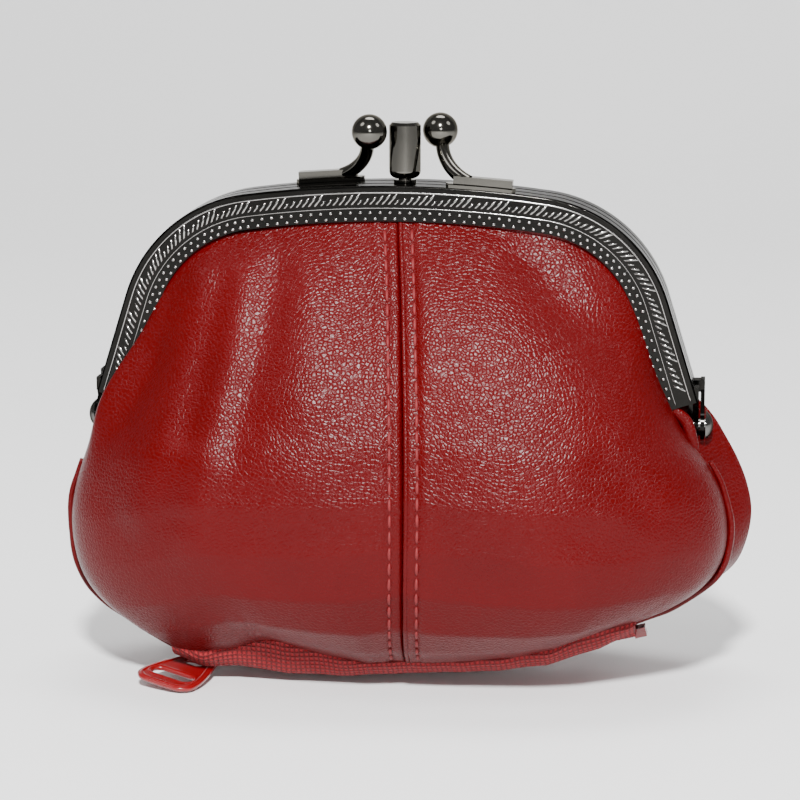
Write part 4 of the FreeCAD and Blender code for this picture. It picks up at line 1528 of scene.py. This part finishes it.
@dataclass
class Zipper:
    """The woven tapes and the coils of the zip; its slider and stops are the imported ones."""

    nodes: dict[str, bpy.types.Object]
    centre_x: float = -1.8
    radius: float = 170.0
    height: float = 2.6
    long_end: float = 41.6
    short_end: float = 38.0
    edge_end: tuple[float, float] = (40.1, 12.0)
    end_slope: float = 0.55
    tape_columns: int = 34
    coil_pitch: float = 1.15
    coil_reach: float = 0.55
    coil_rise: float = 0.42
    wire: float = 0.2

    def _coil_z(self, x: Union[float, Points]) -> Union[float, Points]:
        """Return the height of the coil's middle at x."""
        return self.height + self.radius - np.sqrt(self.radius**2 - (x - self.centre_x) ** 2)

    def _tape(self, face: Face, finishes: Finishes) -> bpy.types.Object:
        """Make one tape."""
        sign = 1.0 if face is Face.FRONT else -1.0
        ends = (-self.short_end, self.long_end) if face is Face.FRONT else (-self.long_end, self.short_end)
        xs = np.linspace(*ends, 190)
        upper = np.interp(xs * sign, *np.array(ZIP_EDGE).T)
        edge_x, edge_z = self.edge_end
        upper = np.where(xs * sign > edge_x, edge_z + (xs * sign - edge_x) * self.end_slope, upper)
        lower = np.interp(xs * sign, *np.array(TAPE_EDGE).T)
        lower = np.minimum(lower, upper - 0.9)
        grid = []
        for x, top, low in zip(xs, upper, lower):
            coil = float(self._coil_z(x))
            wave = 0.35 * wander(x, 0.0, 5.0, 4.0 + sign)
            bend = max(low, 0.3)
            section = (
                (-1.6, coil), (-3.2, coil), (-5.0, (coil + bend) / 2 + 0.1), (-7.2, bend + 0.35),
                (-8.6, bend + wave * 0.5), (-10.2, bend + 0.7 + wave * 0.4),
                (-11.5 + wave, (bend + top) / 2 + 0.3), (-12.0 + wave, top - 0.1), (-11.3, top + 1.2),
            )
            grid.append([(x, y, z) for y, z in smooth_line(section, self.tape_columns)])
        points = face.turn(np.array(grid).reshape(-1, 3)).reshape(len(xs), self.tape_columns, 3)
        parts = MeshParts()
        add_shell(parts, points, 0.6, np.array([0.0, -sign, -0.6]))
        made = parts.build(face.value + "_tape", [finishes.tape, finishes.tape], Slot.TAPE)
        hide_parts(face.value + "_zip_tape")
        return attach(made, Body.PURSE.value)

    def _coil(self, face: Face, finishes: Finishes) -> bpy.types.Object:
        """Make one half of the coil as a helix of nylon."""
        low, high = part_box(face.value + "_zip_coil")
        start, end = low.x / MM + 0.3, high.x / MM - 0.3
        turns = (end - start) / self.coil_pitch
        t = np.linspace(0.0, 1.0, int(turns * 14))
        x = start + (end - start) * t
        turn = 2 * math.pi * turns * t
        sign = -1.0 if face is Face.FRONT else 1.0
        y = sign * (0.92 + self.coil_reach * np.cos(turn))
        path = np.stack([x, y, self._coil_z(x) + self.coil_rise * np.sin(turn)], axis=1)
        parts = MeshParts()
        add_tube(parts, path, self.wire, 7)
        made = parts.build(face.value + "_coil", [finishes.coil], Slot.COIL)
        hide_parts(face.value + "_zip_coil")
        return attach(made, Body.PURSE.value)

    def build(self, finishes: Finishes) -> list[bpy.types.Object]:
        """Make tapes and coils.

        Args:
            finishes: The finishes.

        Returns:
            The pieces.
        """
        made = []
        for face in Face:
            made.append(self._tape(face, finishes))
            made.append(self._coil(face, finishes))
        return made

    def dress(self, finishes: Finishes) -> None:
        """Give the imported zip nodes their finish.

        Args:
            finishes: The finishes.
        """
        for name in ("left_zip_stop", "right_zip_stop", "zip_slider_body", "zip_slider_bridge"):
            dress_node(self.nodes[name], finishes.enamel)


@dataclass
class Puller:
    """The enamelled puller: a plate with a raised rim, a small slot and a wide one."""

    pivot: Points
    lean: float
    turn: float = 24.0
    tilt: float = 8.27
    rounding: float = 0.3
    half_plate: float = 0.1
    rim_inset: float = 0.75
    rim_start: float = 4.4
    rim_radius: float = 0.56
    small_slot: tuple[float, float, float] = (7.9, 3.4, 1.9)
    wide_slot: tuple[float, float, float] = (14.4, 8.0, 2.6)
    lip_inset: float = 0.55
    lip_radius: float = 0.5
    eye_radius: float = 1.6
    outline: tuple[tuple[float, float], ...] = (
        (-2.0, 1.2), (-1.3, 2.0), (3.4, 2.6), (11.5, 5.1), (16.0, 5.7), (17.9, 4.8), (18.7, 2.8),
    )

    @classmethod
    def from_record(cls, record: dict[str, object]) -> "Puller":
        """Return the puller set on its joint.

        Args:
            record: The part's record.

        Returns:
            The puller.
        """
        joint = next(j for j in record["behaviour"]["joints"] if j["child"] == Body.PULLER.value)
        return cls(np.array(joint["pos_m"]) / MM, math.asin(joint["axis"][0]))

    def _ring(self, shrink: float, count: int) -> Points:
        """Return the closed outline, shrunk by a margin, count by 2."""
        half = np.array(self.outline)
        closed = np.concatenate([half, half[::-1] * np.array([1.0, -1.0]), half[:1]])
        line = smooth_line(np.column_stack([closed, np.zeros(len(closed))]).tolist(), count + 1)[:-1, :2]
        step = np.roll(line, -1, axis=0) - np.roll(line, 1, axis=0)
        step /= np.linalg.norm(step, axis=1, keepdims=True)
        inward = np.column_stack([step[:, 1], -step[:, 0]])
        inward *= -np.sign(np.sum(inward * (line - line.mean(axis=0)), axis=1))[:, None]
        return line + inward * shrink

    def _slot(self, centre: float, length: float, width: float, grow: float) -> Points:
        """Return a rounded slot across the plate."""
        radius = width / 2 + grow
        run = length / 2 - width / 2
        turn = np.linspace(0.0, math.pi, 13)
        first = np.column_stack([centre + radius * np.cos(turn), run + radius * np.sin(turn)])
        return np.concatenate([first, -(first - (centre, 0.0)) + (centre, 0.0)])

    def _place(self, points: Points) -> Points:
        """Turn points drawn along +X into the rest pose."""
        spin = Matrix.Rotation(self.lean, 3, "Y")
        spin = spin @ Matrix.Rotation(math.radians(-90.0 - self.turn), 3, "Z")
        spin = spin @ Matrix.Rotation(math.radians(self.tilt), 3, "Y")
        return points @ np.array(spin).T + self.pivot

    def _plate(self) -> tuple[Points, list[tuple[int, ...]]]:
        """Return the rounded plate with its holes."""
        curve = bpy.data.curves.new("puller_plate", "CURVE")
        curve.dimensions = "2D"
        curve.fill_mode = "BOTH"
        curve.extrude = self.half_plate
        curve.bevel_depth = self.rounding
        curve.bevel_resolution = 2
        eye = np.linspace(0.0, 2 * math.pi, 24, endpoint=False)
        loops = (
            self._ring(self.rounding, 96),
            self._slot(*self.small_slot, self.rounding),
            self._slot(*self.wide_slot, self.rounding),
            self.eye_radius * np.column_stack([np.cos(eye), np.sin(eye)]),
        )
        for loop in loops:
            spline = curve.splines.new("POLY")
            spline.points.add(len(loop) - 1)
            corners = np.column_stack([loop, np.zeros(len(loop)), np.ones(len(loop))])
            spline.points.foreach_set("co", corners.ravel())
            spline.use_cyclic_u = True
        carrier = bpy.data.objects.new("puller_plate", curve)
        mesh = carrier.to_mesh()
        verts = np.zeros(len(mesh.vertices) * 3)
        mesh.vertices.foreach_get("co", verts)
        faces = [tuple(polygon.vertices) for polygon in mesh.polygons]
        carrier.to_mesh_clear()
        bpy.data.objects.remove(carrier)
        bpy.data.curves.remove(curve)
        return verts.reshape(-1, 3), faces

    def _rim(self, parts: MeshParts, line: Points, radius: float, sides: int) -> None:
        """Add a raised rounded rim along a line on the plate."""
        add_tube(parts, self._place(np.column_stack([line, np.zeros(len(line))])), radius, sides)

    def build(self, finishes: Finishes) -> bpy.types.Object:
        """Make the puller.

        Args:
            finishes: The finishes.

        Returns:
            The piece.
        """
        parts = MeshParts()
        verts, faces = self._plate()
        parts.add(self._place(verts), faces)
        rim = self._ring(self.rim_inset, 120)
        low = rim[rim[:, 0] > self.rim_start]
        start = int(np.argmax(np.linalg.norm(np.diff(low, axis=0), axis=1))) + 1
        self._rim(parts, np.roll(low, -start, axis=0), self.rim_radius, 12)
        lip = self._slot(*self.wide_slot, self.lip_inset)
        self._rim(parts, np.concatenate([lip, lip[:3]]), self.lip_radius, 10)
        made = parts.build("enamel_puller", [finishes.enamel], Slot.ENAMEL)
        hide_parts("zip_puller")
        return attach(made, Body.PULLER.value)


def dress_node(node: bpy.types.Object, material: bpy.types.Material) -> None:
    """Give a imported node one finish.

    Args:
        node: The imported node.
        material: Its finish.
    """
    node.data.materials.clear()
    node.data.materials.append(material)


# ---------------------------------------------------------------- the studio


@dataclass
class Studio:
    """Pale floor, soft lights and the camera."""

    azimuth: float = math.radians(6.0)
    elevation: float = math.radians(10.5)
    distance: float = 500.0
    target: tuple[float, float, float] = (0.345, 0.0, 48.3)
    lens: float = 130.5

    def _aim(self, made: bpy.types.Object, place: Vector, target: Vector) -> None:
        """Put an object in place and point it at a target."""
        made.location = place
        made.rotation_mode = "QUATERNION"
        made.rotation_quaternion = (target - place).to_track_quat("-Z", "Y")

    def _light(
        self, name: str, azimuth: float, elevation: float, distance: float, size: float, power: float
    ) -> None:
        """Add one round soft light that points at the purse."""
        data = bpy.data.lights.new(name, "AREA")
        data.shape = "DISK"
        data.size = size
        data.energy = power
        made = bpy.data.objects.new(name, data)
        bpy.context.scene.collection.objects.link(made)
        a, e = math.radians(azimuth), math.radians(elevation)
        target = Vector((0.0, 0.0, 0.045))
        heading = Vector((math.sin(a) * math.cos(e), -math.cos(a) * math.cos(e), math.sin(e)))
        place = target + distance * heading
        self._aim(made, place, target)

    def _backdrop_light(self) -> None:
        """Brighten the wall behind the purse."""
        data = bpy.data.lights.new("backdrop", "AREA")
        data.shape = "DISK"
        data.size = 0.8
        data.energy = 16.0
        made = bpy.data.objects.new("backdrop", data)
        bpy.context.scene.collection.objects.link(made)
        self._aim(made, Vector((0.0, 0.35, 1.3)), Vector((0.0, 1.3, 0.2)))

    def _floor(self) -> None:
        """Make a pale floor that curves up into a wall."""
        shader = Shader("pale_floor")
        tone = shader.noise(6.0, 2.0)
        colour = shader.blend(tone, (0.86, 0.86, 0.86, 1.0), (0.90, 0.90, 0.90, 1.0))
        material = shader.surface(Base_Color=colour, Roughness=0.75)
        size = 3.0
        mesh = bpy.data.meshes.new("floor")
        rows = [(-size, -0.0001), (0.6, -0.0001)]
        for step in range(1, 17):
            angle = math.pi / 2 * step / 16
            rows.append((0.6 + 0.8 * math.sin(angle), 0.8 * (1 - math.cos(angle))))
        rows.append((1.4, 3.0))
        verts = [(x, y, z) for y, z in rows for x in (-size, size)]
        faces = [(2 * i, 2 * i + 1, 2 * i + 3, 2 * i + 2) for i in range(len(rows) - 1)]
        mesh.from_pydata(verts, [], faces)
        mesh.polygons.foreach_set("use_smooth", [True] * len(faces))
        mesh.materials.append(material)
        floor = bpy.data.objects.new("floor", mesh)
        bpy.context.scene.collection.objects.link(floor)

    def build(self) -> None:
        """Make the floor, the lights, the surroundings and the camera."""
        self._floor()
        world = bpy.data.worlds.new("studio")
        world.use_nodes = True
        background = world.node_tree.nodes["Background"]
        background.inputs["Color"].default_value = (1.0, 1.0, 1.0, 1.0)
        background.inputs["Strength"].default_value = 0.28
        bpy.context.scene.world = world
        self._light("key", 4.0, 40.0, 0.9, 0.10, 20.0)
        self._light("left_soft", -62.0, 48.0, 1.1, 0.4, 2.0)
        self._light("right_soft", 78.0, 42.0, 1.1, 0.4, 2.0)
        self._light("front_soft", 10.0, 14.0, 1.2, 0.25, 2.5)
        self._backdrop_light()
        camera = bpy.data.cameras.new("camera")
        camera.lens = self.lens
        camera.sensor_width = 36.0
        camera.clip_start = 0.01
        made = bpy.data.objects.new("camera", camera)
        bpy.context.scene.collection.objects.link(made)
        target = Vector(self.target) * MM
        back = Vector(
            (
                math.sin(self.azimuth) * math.cos(self.elevation),
                -math.cos(self.azimuth) * math.cos(self.elevation),
                math.sin(self.elevation),
            )
        )
        self._aim(made, target + back * self.distance * MM, target)
        bpy.context.scene.camera = made


def report(name: str, build: Callable[[], object]) -> None:
    """Run one step and log it.

    Args:
        name: What is built.
        build: The step.
    """
    made = build()
    pieces = made if isinstance(made, list) else []
    LOG.info("%s: %s", name, ", ".join(piece.name for piece in pieces) or "done")


def main() -> None:
    """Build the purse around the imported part."""
    logging.basicConfig(level=logging.INFO)
    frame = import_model()
    finishes = Finishes.make()
    nodes = frame["nodes"]
    arch = Arch(
        hinge_height=(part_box("right_hinge_rivet")[0].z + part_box("right_hinge_rivet")[1].z) / 2 / MM,
        crown_top=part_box("middle_frame")[1].z / MM,
    )
    frames = MetalFrames(arch, nodes)
    zipper = Zipper(nodes)
    report("metal finish", lambda: frames.dress(finishes))
    report("frame decoration", lambda: frames.build(finishes))
    report("clasp", lambda: Clasp(arch).build(finishes))
    report("cords", lambda: ChannelCords(arch).build(finishes))
    report("leather", lambda: LeatherBag(arch).build(finishes))
    report("interior", lambda: Interior(arch).build(finishes))
    report("zip finish", lambda: zipper.dress(finishes))
    report("zip", lambda: zipper.build(finishes))
    report("puller", lambda: [Puller.from_record(frame["record"]).build(finishes)])
    report("studio", Studio().build)


if __name__ == "__main__":
    main()
